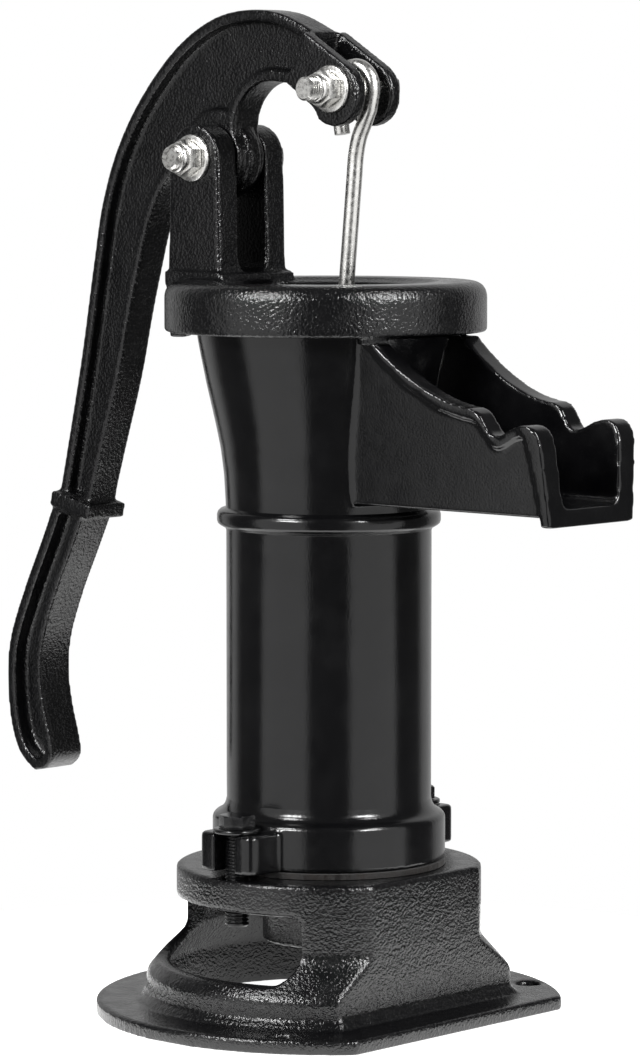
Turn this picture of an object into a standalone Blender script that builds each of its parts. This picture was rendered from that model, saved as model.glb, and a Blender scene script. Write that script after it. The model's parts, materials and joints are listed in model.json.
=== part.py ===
"""Hand well pump of the pitcher type: a cast stand, a barrel with an open spout, a cap that carries the
lever, and the plunger and foot valve inside. Sizes are in millimetres times MM. The pump is laid out about
the barrel's axis: +X towards the spout, +Z up, and it is the same on both sides of Y = 0."""

import math

import bmesh
import bpy
from mathutils import Matrix, Vector
from mathutils.geometry import intersect_point_line

MM = 0.001
GAP = 0.3 * MM  # between pieces that touch
STEPS = 48  # round a casting
INNER_STEPS = 36  # round a piece inside the barrel
SMALL_STEPS = 24  # round a fastener

# overall reach, which puts the origin under the middle of the whole pump
SPOUT_REACH = 170.4 * MM
HANDLE_REACH = 225.5 * MM
AXIS_X = (HANDLE_REACH - SPOUT_REACH) / 2

# stand
PLATE_R = 119.5 * MM
PLATE_T = 7.3 * MM
PLATE_FRONT_X = 90 * MM
PLATE_HOLE_R = 6.35 * MM
PLATE_HOLE_CIRCLE_R = 109 * MM
PLATE_HOLE_ANGLES = (60, 180, 300)
FOOT_R = 96.5 * MM
FOOT_Z = 11 * MM
SKIRT_R = 93.5 * MM
SKIRT_Z = 21 * MM
DRUM_R = 78 * MM
DRUM_FOOT_Z = 39.5 * MM
STAND_TOP_Z = 76.5 * MM
STAND_DECK_Z = 60.4 * MM
STAND_WALL = 4.8 * MM
STAND_OPEN_R = 83 * MM
DRUM_FACE_X = 66.5 * MM
WINDOW_X = (-71 * MM, 40.5 * MM)
WINDOW_Z = 27 * MM
INLET_BOSS_R = 34 * MM
INLET_BOSS_Z = 37 * MM
INLET_SOCKET_R = 20.6 * MM
INLET_SOCKET_Z = 66 * MM
WATERWAY_R = 16 * MM

# leather between the stand and the barrel
LEATHER_T = 2.8 * MM
GASKET_R = 60 * MM
GASKET_OPEN_R = 34 * MM
GASKET_Z = STAND_TOP_Z + GAP

# barrel
BARREL_Z = GASKET_Z + LEATHER_T + GAP
BARREL_R = 52.3 * MM
BORE_R = 44.5 * MM
BARREL_RIM_T = 7.5 * MM
BARREL_TOP_Z = 361.7 * MM
BARREL_TOP_R = 69 * MM
FLARE_Z = 262 * MM
BARREL_FLANGE_R = 60 * MM
BARREL_FLANGE_TOP_Z = 102 * MM
RING_R = 57 * MM
RING_Z = (248.5 * MM, 257.5 * MM)
LUG_HALF_X = 18.5 * MM
LUG_Y = 78 * MM
LUG_TOP_Z = 99.5 * MM
LUG_SLOT_R = 7 * MM
FLANGE_BOLT_Y = 68.5 * MM

# spout: its walls lean out by SPOUT_DRAFT for each unit of height
SPOUT_WALL_Z = 264.6 * MM
SPOUT_FLOOR_Z = 268.5 * MM
SPOUT_HALF_Y = 30.5 * MM
SPOUT_DRAFT = 0.105
SPOUT_WALL = 9.2 * MM
SPOUT_RIM = 5.5 * MM
SPOUT_RIM_PROUD = 1.6 * MM
LIP_LENGTH = 6.5 * MM
LIP_PROUD = 2.4 * MM
LIP_BOTTOM_Z = 260.2 * MM
LIP_LEAN = 3.6 * MM

# cap
CAP_X = -2.2 * MM
CAP_R = 81.9 * MM
CAP_Z = 348.5 * MM
CAP_TOP_Z = 374 * MM
CAP_EDGE_R = 7 * MM
CAP_CEILING_Z = BARREL_TOP_Z + GAP
CAP_BORE_R = 73 * MM
CAP_OPENING_R = 48 * MM
CAP_DISH_R = 57 * MM
CAP_LUG_ANGLES = (-30, 90, 210)
CAP_LUG_Z = 344.5 * MM
CAP_LUG_R = 71.5 * MM
SET_SCREW_Z = 356 * MM
CAP_LUG_HALF_Y = 7 * MM

# pivots of the lever, as (x, z)
FULCRUM = (-71.1 * MM, 435.7 * MM)
FRONT_PIN = (17.0 * MM, 470.6 * MM)
EAR_INNER_Y = 10.6 * MM
EAR_OUTER_Y = 25.2 * MM
EAR_R = 17 * MM
EAR_FOOT_HALF_X = 18.6 * MM

# lever
LEVER_HALF_Y = 9.7 * MM
LEVER_RIM = 6 * MM
LEVER_WEB_HALF_Y = 2.9 * MM
LEVER_BOSS_R = 21 * MM
GRIP_HALF_Y = 11.3 * MM
HEAD_HALF_Y = 16.6 * MM
HEAD_SLOT_HALF_Y = 9.5 * MM
COLLAR_CENTRE = (-174.3 * MM, 250.6 * MM)
COLLAR_HALF = (15 * MM, 13.6 * MM, 4 * MM)
COLLAR_TURN = math.radians(13)

# bolts and nuts
BOLT_R = 6 * MM
BOLT_HOLE_R = 6.5 * MM
BOLT_HEAD_R = 9.4 * MM
BOLT_HEAD_T = 6.4 * MM
NUT_T = 8 * MM
NUT_COLLAR_R = 7.6 * MM
NUT_COLLAR_T = 3.6 * MM
WASHER_R = 12 * MM
WASHER_T = 2 * MM

# piston rod, a bar bent to a hook over the front pin
ROD_R = 4 * MM
HOOK_R = 11.4 * MM
HOOK_CENTRE = (18.0 * MM, 470.6 * MM)
ROD_FOOT = (0.0, 250 * MM)
EYE_SHIFT_X = -5.3 * MM
EYE_HALF = (8.7 * MM, 4.5 * MM)
EYE_WALL = 3.4 * MM
EYE_HALF_Y = 3.5 * MM

# plunger, at the top of its stroke
PLUNGER_PIN_R = 2.5 * MM
CAGE_DISC_R = 39 * MM
CAGE_DISC_Z = (206 * MM, 212 * MM)
CAGE_SPIGOT_R = 24 * MM
CAGE_SPIGOT_Z = 192 * MM
CAGE_SEAT_R = 17 * MM
CAGE_LEG_Y = (24 * MM, 30 * MM)
CAGE_BRIDGE_Z = (230 * MM, 236 * MM)
CAGE_FORK_Y = (5.5 * MM, 11 * MM)
CAGE_FORK_TOP_Z = 257 * MM
CAGE_HALF_X = 8 * MM
CUP_R = 44.1 * MM

# foot valve: a leather flap with an iron weight, hinged at its back edge
FLAP_R = 27 * MM
FLAP_HINGE_X = -32 * MM
FLAP_TONGUE_HALF_Y = 10 * MM
WEIGHT_R = 19 * MM
WEIGHT_T = 10 * MM


def clear_scene():
    for obj in list(bpy.data.objects):
        bpy.data.objects.remove(obj, do_unlink=True)


def new_collection(name):
    collection = bpy.data.collections.new(name)
    bpy.context.scene.collection.children.link(collection)
    return collection


def finish(name, colour, roughness, metallic):
    material = bpy.data.materials.new(name)
    material.use_nodes = True
    shader = material.node_tree.nodes["Principled BSDF"]
    shader.inputs["Base Color"].default_value = (*colour, 1)
    shader.inputs["Roughness"].default_value = roughness
    shader.inputs["Metallic"].default_value = metallic
    return material


def piece(name, mesh, material):
    """A visible sub-part."""
    obj = bpy.data.objects.new(name, mesh)
    PARTS.objects.link(obj)
    if material:
        mesh.materials.append(material)
    mesh.shade_smooth()
    mesh.set_sharp_from_angle(angle=math.radians(35))
    return obj


def helper(name, mesh):
    """A shape that is only cut from, or joined to, a sub-part."""
    obj = bpy.data.objects.new(name, mesh)
    CUTTERS.objects.link(obj)
    obj.hide_render = True
    obj.display_type = "WIRE"
    return obj


def mesh_of(name, bm):
    bmesh.ops.recalc_face_normals(bm, faces=bm.faces)
    mesh = bpy.data.meshes.new(name)
    bm.to_mesh(mesh)
    bm.free()
    return mesh


def turn(obj, steps=STEPS):
    """Spins the object's profile about its own Z axis."""
    screw = obj.modifiers.new("turn", "SCREW")
    screw.steps = steps
    screw.render_steps = steps
    screw.use_merge_vertices = True
    screw.merge_threshold = 0.00001
    screw.use_smooth_shade = True


def profile_mesh(name, points, ring):
    """Edges through (radius, z) points, closed into a loop for a ring, or open from axis to axis."""
    mesh = bpy.data.meshes.new(name)
    count = len(points)
    edges = [(i, i + 1) for i in range(count - 1)]
    if ring:
        edges.append((count - 1, 0))
    mesh.from_pydata([(r, 0, z) for r, z in points], edges, [])
    return mesh


def prism_mesh(name, outline, low_y, high_y):
    """An (x, z) outline drawn out along Y."""
    bm = bmesh.new()
    face = bm.faces.new([bm.verts.new((x, low_y, z)) for x, z in outline])
    grown = bmesh.ops.extrude_face_region(bm, geom=[face])
    moved = [v for v in grown["geom"] if isinstance(v, bmesh.types.BMVert)]
    bmesh.ops.translate(bm, vec=(0, high_y - low_y, 0), verts=moved)
    return mesh_of(name, bm)


def plate_mesh(name, outline, low_z, high_z):
    """An (x, y) outline drawn out along Z."""
    bm = bmesh.new()
    face = bm.faces.new([bm.verts.new((x, y, low_z)) for x, y in outline])
    grown = bmesh.ops.extrude_face_region(bm, geom=[face])
    moved = [v for v in grown["geom"] if isinstance(v, bmesh.types.BMVert)]
    bmesh.ops.translate(bm, vec=(0, 0, high_z - low_z), verts=moved)
    return mesh_of(name, bm)


def box_mesh(name, low, high):
    bm = bmesh.new()
    bmesh.ops.create_cube(bm, size=1)
    size = [b - a for a, b in zip(low, high)]
    middle = [(a + b) / 2 for a, b in zip(low, high)]
    bmesh.ops.scale(bm, vec=size, verts=bm.verts)
    bmesh.ops.translate(bm, vec=middle, verts=bm.verts)
    return mesh_of(name, bm)


def cylinder_mesh(name, radius, start, end, sides=SMALL_STEPS, turned=0.0):
    """A straight bar between two points; with six sides it is a hexagon of that corner radius."""
    start = Vector(start)
    end = Vector(end)
    along = end - start
    bm = bmesh.new()
    bmesh.ops.create_cone(
        bm, cap_ends=True, segments=sides, radius1=radius, radius2=radius, depth=along.length
    )
    place = Matrix.Translation((start + end) / 2) @ along.to_track_quat("Z", "Y").to_matrix().to_4x4()
    bmesh.ops.transform(bm, matrix=place @ Matrix.Rotation(turned, 4, "Z"), verts=bm.verts)
    return mesh_of(name, bm)


def combine(obj, other, operation):
    modifier = obj.modifiers.new(other.name, "BOOLEAN")
    modifier.operation = operation
    modifier.solver = "EXACT"
    modifier.object = other


def cut(obj, *others):
    for other in others:
        combine(obj, other, "DIFFERENCE")


def join(obj, *others):
    for other in others:
        combine(obj, other, "UNION")


def arc(centre, radius, start, end, count):
    """Points on an arc, from one angle to another in degrees."""
    angles = [math.radians(start + (end - start) * i / count) for i in range(count + 1)]
    return [(centre[0] + radius * math.cos(a), centre[1] + radius * math.sin(a)) for a in angles]


def rounded(corners, count=4):
    """A closed outline whose corners (x, z, radius) are rounded off."""
    outline = []
    total = len(corners)
    for i, (x, z, radius) in enumerate(corners):
        here = Vector((x, z))
        if radius == 0:
            outline.append((x, z))
            continue
        before = (Vector(corners[i - 1][:2]) - here).normalized()
        after = (Vector(corners[(i + 1) % total][:2]) - here).normalized()
        half = before.angle(after) / 2
        centre = here + (before + after).normalized() * radius / math.sin(half)
        reach = radius / math.tan(half)
        first = here + before * reach - centre
        last = here + after * reach - centre
        sweep = first.angle_signed(last)
        for step in range(count + 1):
            turned = first.copy()
            turned.rotate(Matrix.Rotation(-sweep * step / count, 2))
            outline.append(tuple(centre + turned))
    return outline


def smooth(points, per_span):
    """A curve through the points (Catmull-Rom)."""
    ends = [points[0], *points, points[-1]]
    curve = []
    for a, b, c, d in zip(ends, ends[1:], ends[2:], ends[3:]):
        for step in range(per_span):
            t = step / per_span
            curve.append(
                tuple(
                    0.5
                    * (
                        2 * q
                        + (r - p) * t
                        + (2 * p - 5 * q + 4 * r - s) * t * t
                        + (3 * q - p - 3 * r + s) * t**3
                    )
                    for p, q, r, s in zip(a, b, c, d)
                )
            )
    return [*curve, points[-1]]


def mm(points):
    return [tuple(value * MM for value in point) for point in points]


def mm_point(x, y, z):
    return (x * MM, y * MM, z * MM)


def on_circle(radius, degrees):
    return (radius * math.cos(math.radians(degrees)), radius * math.sin(math.radians(degrees)))


# --- stand ---------------------------------------------------------------------------------------


def stand_outside():
    return [
        (0, STAND_TOP_Z),
        *arc((DRUM_R - 1.5 * MM, STAND_TOP_Z - 1.5 * MM), 1.5 * MM, 90, 0, 3),
        (DRUM_R, DRUM_FOOT_Z + 2 * MM),
        (DRUM_R + 0.8 * MM, DRUM_FOOT_Z - 1.5 * MM),
        (SKIRT_R - 1.2 * MM, SKIRT_Z + 1.4 * MM),
        (SKIRT_R, SKIRT_Z - 1 * MM),
        (SKIRT_R, FOOT_Z),
        (FOOT_R, FOOT_Z - 1.5 * MM),
        (FOOT_R, PLATE_T),
        (PLATE_R - 1 * MM, PLATE_T),
        (PLATE_R, PLATE_T - 1 * MM),
        (PLATE_R, 0),
        (0, 0),
    ]


def stand_inside():
    """The hollow, open underneath, which follows the outside one wall's thickness in."""
    inner_r = DRUM_R - STAND_WALL
    return [
        (0, STAND_DECK_Z),
        (inner_r - 3 * MM, STAND_DECK_Z),
        (inner_r, STAND_DECK_Z - 3 * MM),
        (inner_r, DRUM_FOOT_Z),
        (STAND_OPEN_R, SKIRT_Z + 2 * MM),
        (STAND_OPEN_R, -5 * MM),
        (0, -5 * MM),
    ]


def make_stand():
    stand = piece("stand", profile_mesh("stand", stand_outside(), False), CAST_IRON)
    turn(stand)
    hollow = helper("stand_hollow", profile_mesh("stand_hollow", stand_inside(), False))
    turn(hollow)
    wide = 200 * MM
    face_x = DRUM_FACE_X

    def front(name, x, z):
        """Everything in front of a flat face at x, from a height up."""
        return helper(f"stand_{name}", box_mesh(name, (x, -wide, z), (wide, wide, wide)))

    cut(hollow, front("hollow_front", face_x - STAND_WALL, -wide))
    drum_front = front("drum_front", face_x, FOOT_Z)
    foot_front = front("foot_front", face_x + 3 * MM, PLATE_T)
    plate_front = front("plate_front", PLATE_FRONT_X, -wide)
    window = helper(
        "stand_window",
        prism_mesh(
            "stand_window",
            rounded(
                [
                    (WINDOW_X[0], WINDOW_Z, 9 * MM),
                    (WINDOW_X[1], WINDOW_Z, 8 * MM),
                    (WINDOW_X[1], STAND_DECK_Z, 4 * MM),
                    (WINDOW_X[0], STAND_DECK_Z, 4 * MM),
                ]
            ),
            -wide,
            wide,
        ),
    )

    def upright(name, radius, low_z, high_z):
        mesh = cylinder_mesh(name, radius, (0, 0, low_z), (0, 0, high_z), INNER_STEPS)
        return helper(f"stand_{name}", mesh)

    boss = upright("boss", INLET_BOSS_R, INLET_BOSS_Z, STAND_TOP_Z - 4 * MM)
    socket = upright("socket", INLET_SOCKET_R, 0, INLET_SOCKET_Z)
    waterway = upright("waterway", WATERWAY_R, 0, wide)
    cut(stand, drum_front, foot_front, plate_front, hollow, window)
    join(stand, boss)
    cut(stand, socket, waterway)
    for angle in PLATE_HOLE_ANGLES:
        x, y = on_circle(PLATE_HOLE_CIRCLE_R, angle)
        hole = cylinder_mesh("plate_hole", PLATE_HOLE_R, (x, y, -wide), (x, y, FOOT_Z))
        cut(stand, helper(f"plate_hole_{angle}", hole))
    for side in (-1, 1):
        y = side * FLANGE_BOLT_Y
        hole = cylinder_mesh("flange_hole", BOLT_HOLE_R, (0, y, 50 * MM), (0, y, wide))
        cut(stand, helper(f"stand_flange_hole_{side}", hole))


# --- foot valve ----------------------------------------------------------------------------------


def make_foot_valve():
    gasket = piece(
        "foot_valve_gasket",
        profile_mesh(
            "gasket",
            [
                (GASKET_R, GASKET_Z + LEATHER_T),
                (GASKET_R, GASKET_Z),
                (GASKET_OPEN_R, GASKET_Z),
                (GASKET_OPEN_R, GASKET_Z + LEATHER_T),
            ],
            True,
        ),
        LEATHER,
    )
    turn(gasket, INNER_STEPS)

    # a round flap with a straight tongue back to the hinge
    open_angle = math.degrees(math.asin(FLAP_TONGUE_HALF_Y / FLAP_R))
    outline = [(FLAP_HINGE_X, FLAP_TONGUE_HALF_Y), (FLAP_HINGE_X, -FLAP_TONGUE_HALF_Y)]
    outline += arc((0, 0), FLAP_R, open_angle - 180, 180 - open_angle, 36)
    flap = piece("foot_valve_flap", plate_mesh("flap", outline, GASKET_Z, GASKET_Z + LEATHER_T), LEATHER)
    flap_hole = helper("flap_hole", cylinder_mesh("flap_hole", 3.4 * MM, (0, 0, 0), (0, 0, 200 * MM)))
    cut(flap, flap_hole)

    low = GASKET_Z + LEATHER_T + GAP
    weight = piece(
        "foot_valve_weight",
        profile_mesh(
            "weight",
            [
                (3.4 * MM, low + WEIGHT_T),
                (WEIGHT_R - 4 * MM, low + WEIGHT_T),
                (WEIGHT_R, low + WEIGHT_T - 3 * MM),
                (WEIGHT_R, low),
                (3.4 * MM, low),
            ],
            True,
        ),
        CAST_IRON,
    )
    turn(weight, INNER_STEPS)

    head_z = low + WEIGHT_T + GAP
    foot_z = GASKET_Z - 7.6 * MM
    screw = piece(
        "foot_valve_screw",
        profile_mesh(
            "foot_screw",
            [
                (0, head_z + 3.4 * MM),
                (3 * MM, head_z + 3 * MM),
                (5.6 * MM, head_z + 1 * MM),
                (5.6 * MM, head_z),
                (3 * MM, head_z),
                (3 * MM, foot_z),
                (0, foot_z),
            ],
            False,
        ),
        BRASS,
    )
    turn(screw, SMALL_STEPS)
    under = GASKET_Z - GAP
    make_washer("foot_valve_washer", 3.4 * MM, 12 * MM, (0, 0, under - 1.6 * MM), (0, 0, under), BRASS)
    low_nut = under - 1.6 * MM - GAP
    nut = cylinder_mesh("foot_nut", 5.7 * MM, (0, 0, low_nut - 4 * MM), (0, 0, low_nut), 6)
    nut = piece("foot_valve_nut", nut, BRASS)
    cut(nut, flap_hole)


# --- barrel --------------------------------------------------------------------------------------


def barrel_outside():
    top = BARREL_TOP_Z
    ring_low, ring_high = RING_Z
    ring_middle = (ring_low + ring_high) / 2
    ring_half = (ring_high - ring_low) / 2
    ring_bulge = RING_R - BARREL_R - 1 * MM
    flange = BARREL_FLANGE_TOP_Z
    flare = [(52.4, 262), (53.2, 276), (57.2, 300), (62.2, 322), (66.3, 342)]
    return [
        (0, top),
        (BARREL_TOP_R, top),
        *reversed(mm(flare)),
        (BARREL_R + 0.9 * MM, ring_high),
        *[
            (RING_R + ring_bulge * (math.cos(a) - 1), ring_middle + ring_half * math.sin(a))
            for a in [math.radians(d) for d in (72, 36, 0, -36, -72)]
        ],
        (BARREL_R, ring_low - 0.6 * MM),
        (BARREL_R, flange + 5 * MM),
        *arc((BARREL_R + 5 * MM, flange + 5 * MM), 5 * MM, 200, 270, 3),
        (BARREL_FLANGE_R - 1.5 * MM, flange),
        (BARREL_FLANGE_R, flange - 1.5 * MM),
        (BARREL_FLANGE_R, BARREL_Z),
        (0, BARREL_Z),
    ]


def barrel_inside():
    """A straight bore which opens out with the flare."""
    rim_r = BARREL_TOP_R - BARREL_RIM_T
    return [
        (0, 420 * MM),
        (rim_r, 420 * MM),
        (rim_r, BARREL_TOP_Z - 14 * MM),
        (BORE_R + 6 * MM, FLARE_Z + 40 * MM),
        (BORE_R, FLARE_Z),
        (BORE_R, 40 * MM),
        (0, 40 * MM),
    ]


def spout_rim():
    """The top edge of a side wall from the cap to the lip: a sweep, a step, a notch and a round nose."""
    sweep = mm([(52, 361), (60, 352), (69.5, 343), (79.5, 335.2), (94, 326.2), (109.5, 319.6)])
    step = mm([(122, 316.6), (129.5, 314.8), (133, 310.6), (136.2, 305.4), (140.5, 303.2), (146, 304.9)])
    nose = mm([(151.5, 308), (157.5, 309.2), (162.2, 308), (165.4, 304.2)])
    return smooth(sweep, 2) + smooth(step, 2) + smooth(nose, 2)


def leaning(mesh, proud):
    """Moves a prism's two sides out to the spout's half-width, which grows with height."""
    for vertex in mesh.vertices:
        half = SPOUT_HALF_Y + SPOUT_DRAFT * (vertex.co.z - SPOUT_WALL_Z) + proud
        vertex.co.y = math.copysign(half, vertex.co.y)
    return mesh


def front_x(z):
    """The leaning face of the lip."""
    return SPOUT_REACH - LIP_LEAN * (z - LIP_BOTTOM_Z) / (305 * MM - LIP_BOTTOM_Z)


def make_spout():
    rim = spout_rim()
    start_x = 30 * MM
    top_z = rim[0][1]
    wall = [(start_x, top_z), *rim, (front_x(SPOUT_WALL_Z), SPOUT_WALL_Z), (start_x, SPOUT_WALL_Z)]
    body = helper("spout_body", leaning(prism_mesh("spout_body", wall, -1, 1), 0.0))

    # the rolled rim follows the top edge a little proud of the wall
    band = [(x, z - SPOUT_RIM) for x, z in reversed(rim)]
    band = helper("spout_band", leaning(prism_mesh("spout_band", rim + band, -1, 1), SPOUT_RIM_PROUD))

    # the lip stands proud all round the mouth
    nose = [point for point in rim if point[0] > SPOUT_REACH - LIP_LENGTH - 7 * MM]
    back_top = (nose[0][0], nose[0][1])
    lip = [back_top, *nose[1:], (front_x(LIP_BOTTOM_Z), LIP_BOTTOM_Z)]
    lip.append((SPOUT_REACH - LIP_LENGTH + 1.5 * MM, LIP_BOTTOM_Z))
    lip.append((SPOUT_REACH - LIP_LENGTH - 4 * MM, 296 * MM))
    lip = helper("spout_lip", leaning(prism_mesh("spout_lip", lip, -1, 1), LIP_PROUD))

    # the channel: flat floor, round lower corners, and sides that lean like the outside
    half_low = SPOUT_HALF_Y - SPOUT_WALL
    high = 90 * MM
    section = rounded(
        [
            (-half_low - SPOUT_DRAFT * high, SPOUT_FLOOR_Z + high, 0),
            (half_low + SPOUT_DRAFT * high, SPOUT_FLOOR_Z + high, 0),
            (half_low, SPOUT_FLOOR_Z, 6 * MM),
            (-half_low, SPOUT_FLOOR_Z, 6 * MM),
        ]
    )
    channel_mesh = prism_mesh("spout_channel", section, 0, 200 * MM)
    channel_mesh.transform(Matrix.Rotation(math.radians(-90), 4, "Z"))
    channel = helper("spout_channel", channel_mesh)
    return body, band, lip, channel


def make_flange_lug(barrel, side):
    """One of the two lugs for the bolts that hold the barrel down, its slot open outward."""
    lug = plate_mesh(
        "lug",
        rounded(
            [
                (-LUG_HALF_X, side * 20 * MM, 0),
                (LUG_HALF_X, side * 20 * MM, 0),
                (LUG_HALF_X, side * LUG_Y, 4 * MM),
                (-LUG_HALF_X, side * LUG_Y, 4 * MM),
            ]
        ),
        BARREL_Z,
        LUG_TOP_Z,
    )
    slot = arc((0, side * FLANGE_BOLT_Y), LUG_SLOT_R, 180, 180 + side * 180, 10)
    slot = [(-LUG_SLOT_R, side * 90 * MM), *slot, (LUG_SLOT_R, side * 90 * MM)]
    bolt_y = side * FLANGE_BOLT_Y
    seat = cylinder_mesh("seat", WASHER_R + 0.8 * MM, (0, bolt_y, LUG_TOP_Z), (0, bolt_y, 115 * MM), 32)
    join(barrel, helper(f"lug_{side}", lug))
    cut(barrel, helper(f"lug_slot_{side}", plate_mesh("slot", slot, 50 * MM, 150 * MM)))
    cut(barrel, helper(f"lug_seat_{side}", seat))


def make_barrel():
    barrel = piece("barrel", profile_mesh("barrel", barrel_outside(), False), ENAMEL)
    turn(barrel)
    body, band, lip, channel = make_spout()
    inside = helper("barrel_inside", profile_mesh("barrel_inside", barrel_inside(), False))
    turn(inside)
    above = helper("barrel_above", box_mesh("above", mm_point(-90, -90, 361.7), mm_point(190, 90, 420)))
    # the spout's walls stop under the cap's skirt
    skirt_gap_z = CAP_Z - 1.2 * MM
    rim_r = BARREL_TOP_R + 0.2 * MM
    under_cap = [(95 * MM, 420 * MM), (95 * MM, skirt_gap_z), (rim_r, skirt_gap_z), (rim_r, 420 * MM)]
    under_cap = helper("barrel_under_cap", profile_mesh("under_cap", under_cap, True))
    turn(under_cap)
    join(barrel, body, band, lip)
    cut(barrel, above, under_cap)
    for side in (-1, 1):
        make_flange_lug(barrel, side)
    # the channel runs through the barrel's wall, below the rim that the cap sits on
    channel_end = helper("channel_end", box_mesh("end", mm_point(-20, -60, 200), mm_point(0, 60, 420)))
    channel_top = helper("channel_top", box_mesh("top", mm_point(-20, -60, 347.7), mm_point(70, 60, 420)))
    cut(channel, channel_end, channel_top)
    pocket = helper("barrel_lug_pocket", cap_lug(CAP_LUG_ANGLES[0], 0.6 * MM))
    cut(barrel, inside, channel, pocket)


# --- cap -----------------------------------------------------------------------------------------


def cap_profile():
    top = CAP_TOP_Z
    edge = CAP_EDGE_R
    return [
        (CAP_DISH_R, top),
        *arc((CAP_R - edge, top - edge), edge, 90, 0, 6),
        (CAP_R, CAP_Z + 1 * MM),
        (CAP_R - 1 * MM, CAP_Z),
        (CAP_BORE_R, CAP_Z),
        (CAP_BORE_R, CAP_CEILING_Z),
        (CAP_OPENING_R, CAP_CEILING_Z),
        (CAP_OPENING_R, top - 4.5 * MM),
        (CAP_OPENING_R + 1.5 * MM, top - 2.5 * MM),
    ]


def ear_outline(half_foot, foot_z, radius):
    """An upright plate with a round top about the fulcrum."""
    x, z = FULCRUM
    return [
        (x - half_foot, foot_z),
        (x + half_foot, foot_z),
        *arc((x, z), radius, -4, 184, 18),
    ]


def cap_lug(angle, grow):
    """A small block under the skirt; grown a little, it is the pocket that clears it."""
    low = (CAP_LUG_R - grow, -CAP_LUG_HALF_Y - grow, CAP_LUG_Z - grow)
    high = (CAP_R - 2 * MM + grow, CAP_LUG_HALF_Y + grow, CAP_Z + 6 * MM)
    lug = box_mesh("cap_lug", low, high)
    lug.transform(Matrix.Translation((CAP_X, 0, 0)) @ Matrix.Rotation(math.radians(angle), 4, "Z"))
    return lug


def make_cap():
    cap = piece("cap", profile_mesh("cap", cap_profile(), True), CAST_IRON)
    turn(cap)
    cap.location.x = CAP_X
    x, z = FULCRUM
    outline = ear_outline(EAR_FOOT_HALF_X, CAP_TOP_Z - 3 * MM, EAR_R)
    ears = prism_mesh("ears", outline, -EAR_OUTER_Y, EAR_OUTER_Y)
    plinth = prism_mesh(
        "plinth",
        [
            (x - 17 * MM, CAP_TOP_Z - 6 * MM),
            (x + 12 * MM, CAP_TOP_Z - 6 * MM),
            (x + 22 * MM, CAP_TOP_Z - 2 * MM),
            (x + 22 * MM, CAP_TOP_Z + 2 * MM),
            (x + 19 * MM, CAP_TOP_Z + 4 * MM),
            (x - 18.6 * MM, CAP_TOP_Z + 4 * MM),
            (x - 18.6 * MM, CAP_TOP_Z - 2 * MM),
        ],
        -EAR_OUTER_Y - 2.5 * MM,
        EAR_OUTER_Y + 2.5 * MM,
    )
    floor_z = CAP_TOP_Z + 3.6 * MM
    gap_section = rounded(
        [
            (-EAR_INNER_Y, floor_z, 7 * MM),
            (EAR_INNER_Y, floor_z, 7 * MM),
            (EAR_INNER_Y, 500 * MM, 0),
            (-EAR_INNER_Y, 500 * MM, 0),
        ]
    )
    gap_mesh = prism_mesh("ear_gap", gap_section, 0, 150 * MM)
    gap_mesh.transform(Matrix.Rotation(math.radians(90), 4, "Z"))
    bore = cylinder_mesh("bore", CAP_BORE_R, (CAP_X, 0, 300 * MM), (CAP_X, 0, CAP_CEILING_Z), STEPS)
    plinth = helper("cap_plinth", plinth)
    cut(plinth, helper("cap_plinth_bore", bore))
    join(cap, plinth, helper("cap_ears", ears))
    for angle in CAP_LUG_ANGLES:
        join(cap, helper(f"cap_lug_{angle}", cap_lug(angle, 0.0)))
    pin_hole = cylinder_mesh("fulcrum_hole", BOLT_HOLE_R, (x, -60 * MM, z), (x, 60 * MM, z))
    cut(cap, helper("cap_ear_gap", gap_mesh), helper("cap_fulcrum_hole", pin_hole))
    screw_from = (CAP_X, 60 * MM, SET_SCREW_Z)
    screw_hole = cylinder_mesh("set_screw_hole", 4.4 * MM, screw_from, (CAP_X, 100 * MM, SET_SCREW_Z))
    cut(cap, helper("cap_set_screw_hole", screw_hole))


def make_set_screw():
    """A square-headed screw through the far side of the cap's skirt, against the barrel's rim."""
    rim_y = BARREL_TOP_R + 0.6 * MM
    head_y = CAP_R + 0.6 * MM
    tip, seat, top = [(CAP_X, y, SET_SCREW_Z) for y in (rim_y, head_y, head_y + 6 * MM)]
    screw = piece("cap_set_screw", cylinder_mesh("set_screw_head", 5.6 * MM, seat, top, 4), ZINC)
    middle = (CAP_X, head_y + 2 * MM, SET_SCREW_Z)
    join(screw, helper("set_screw_shank", cylinder_mesh("set_screw_shank", 4 * MM, tip, middle)))


# --- lever ---------------------------------------------------------------------------------------


def depth_inside(point, outline):
    """The distance from a point to the nearest side of an outline."""
    nearest = []
    for start, end in zip(outline, outline[1:] + outline[:1]):
        on_line, share = intersect_point_line(point, Vector(start), Vector(end))
        if share <= 0:
            on_line = Vector(start)
        elif share >= 1:
            on_line = Vector(end)
        nearest.append((point - on_line).length)
    return min(nearest)


def shrunk(outline, distance):
    """The outline moved in by a distance, without the points that would come too near another side.
    It runs counterclockwise, with x across and z up."""
    moved = []
    total = len(outline)
    for i, point in enumerate(outline):
        here = Vector(point)
        into = (here - Vector(outline[i - 1])).normalized()
        away = (Vector(outline[(i + 1) % total]) - here).normalized()
        square = Vector((-away.y, away.x))
        inward = (Vector((-into.y, into.x)) + square).normalized()
        there = here + inward * distance / max(0.4, inward.dot(square))
        if depth_inside(there, outline) > 0.99 * distance:
            moved.append(tuple(there))
    return moved


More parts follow.
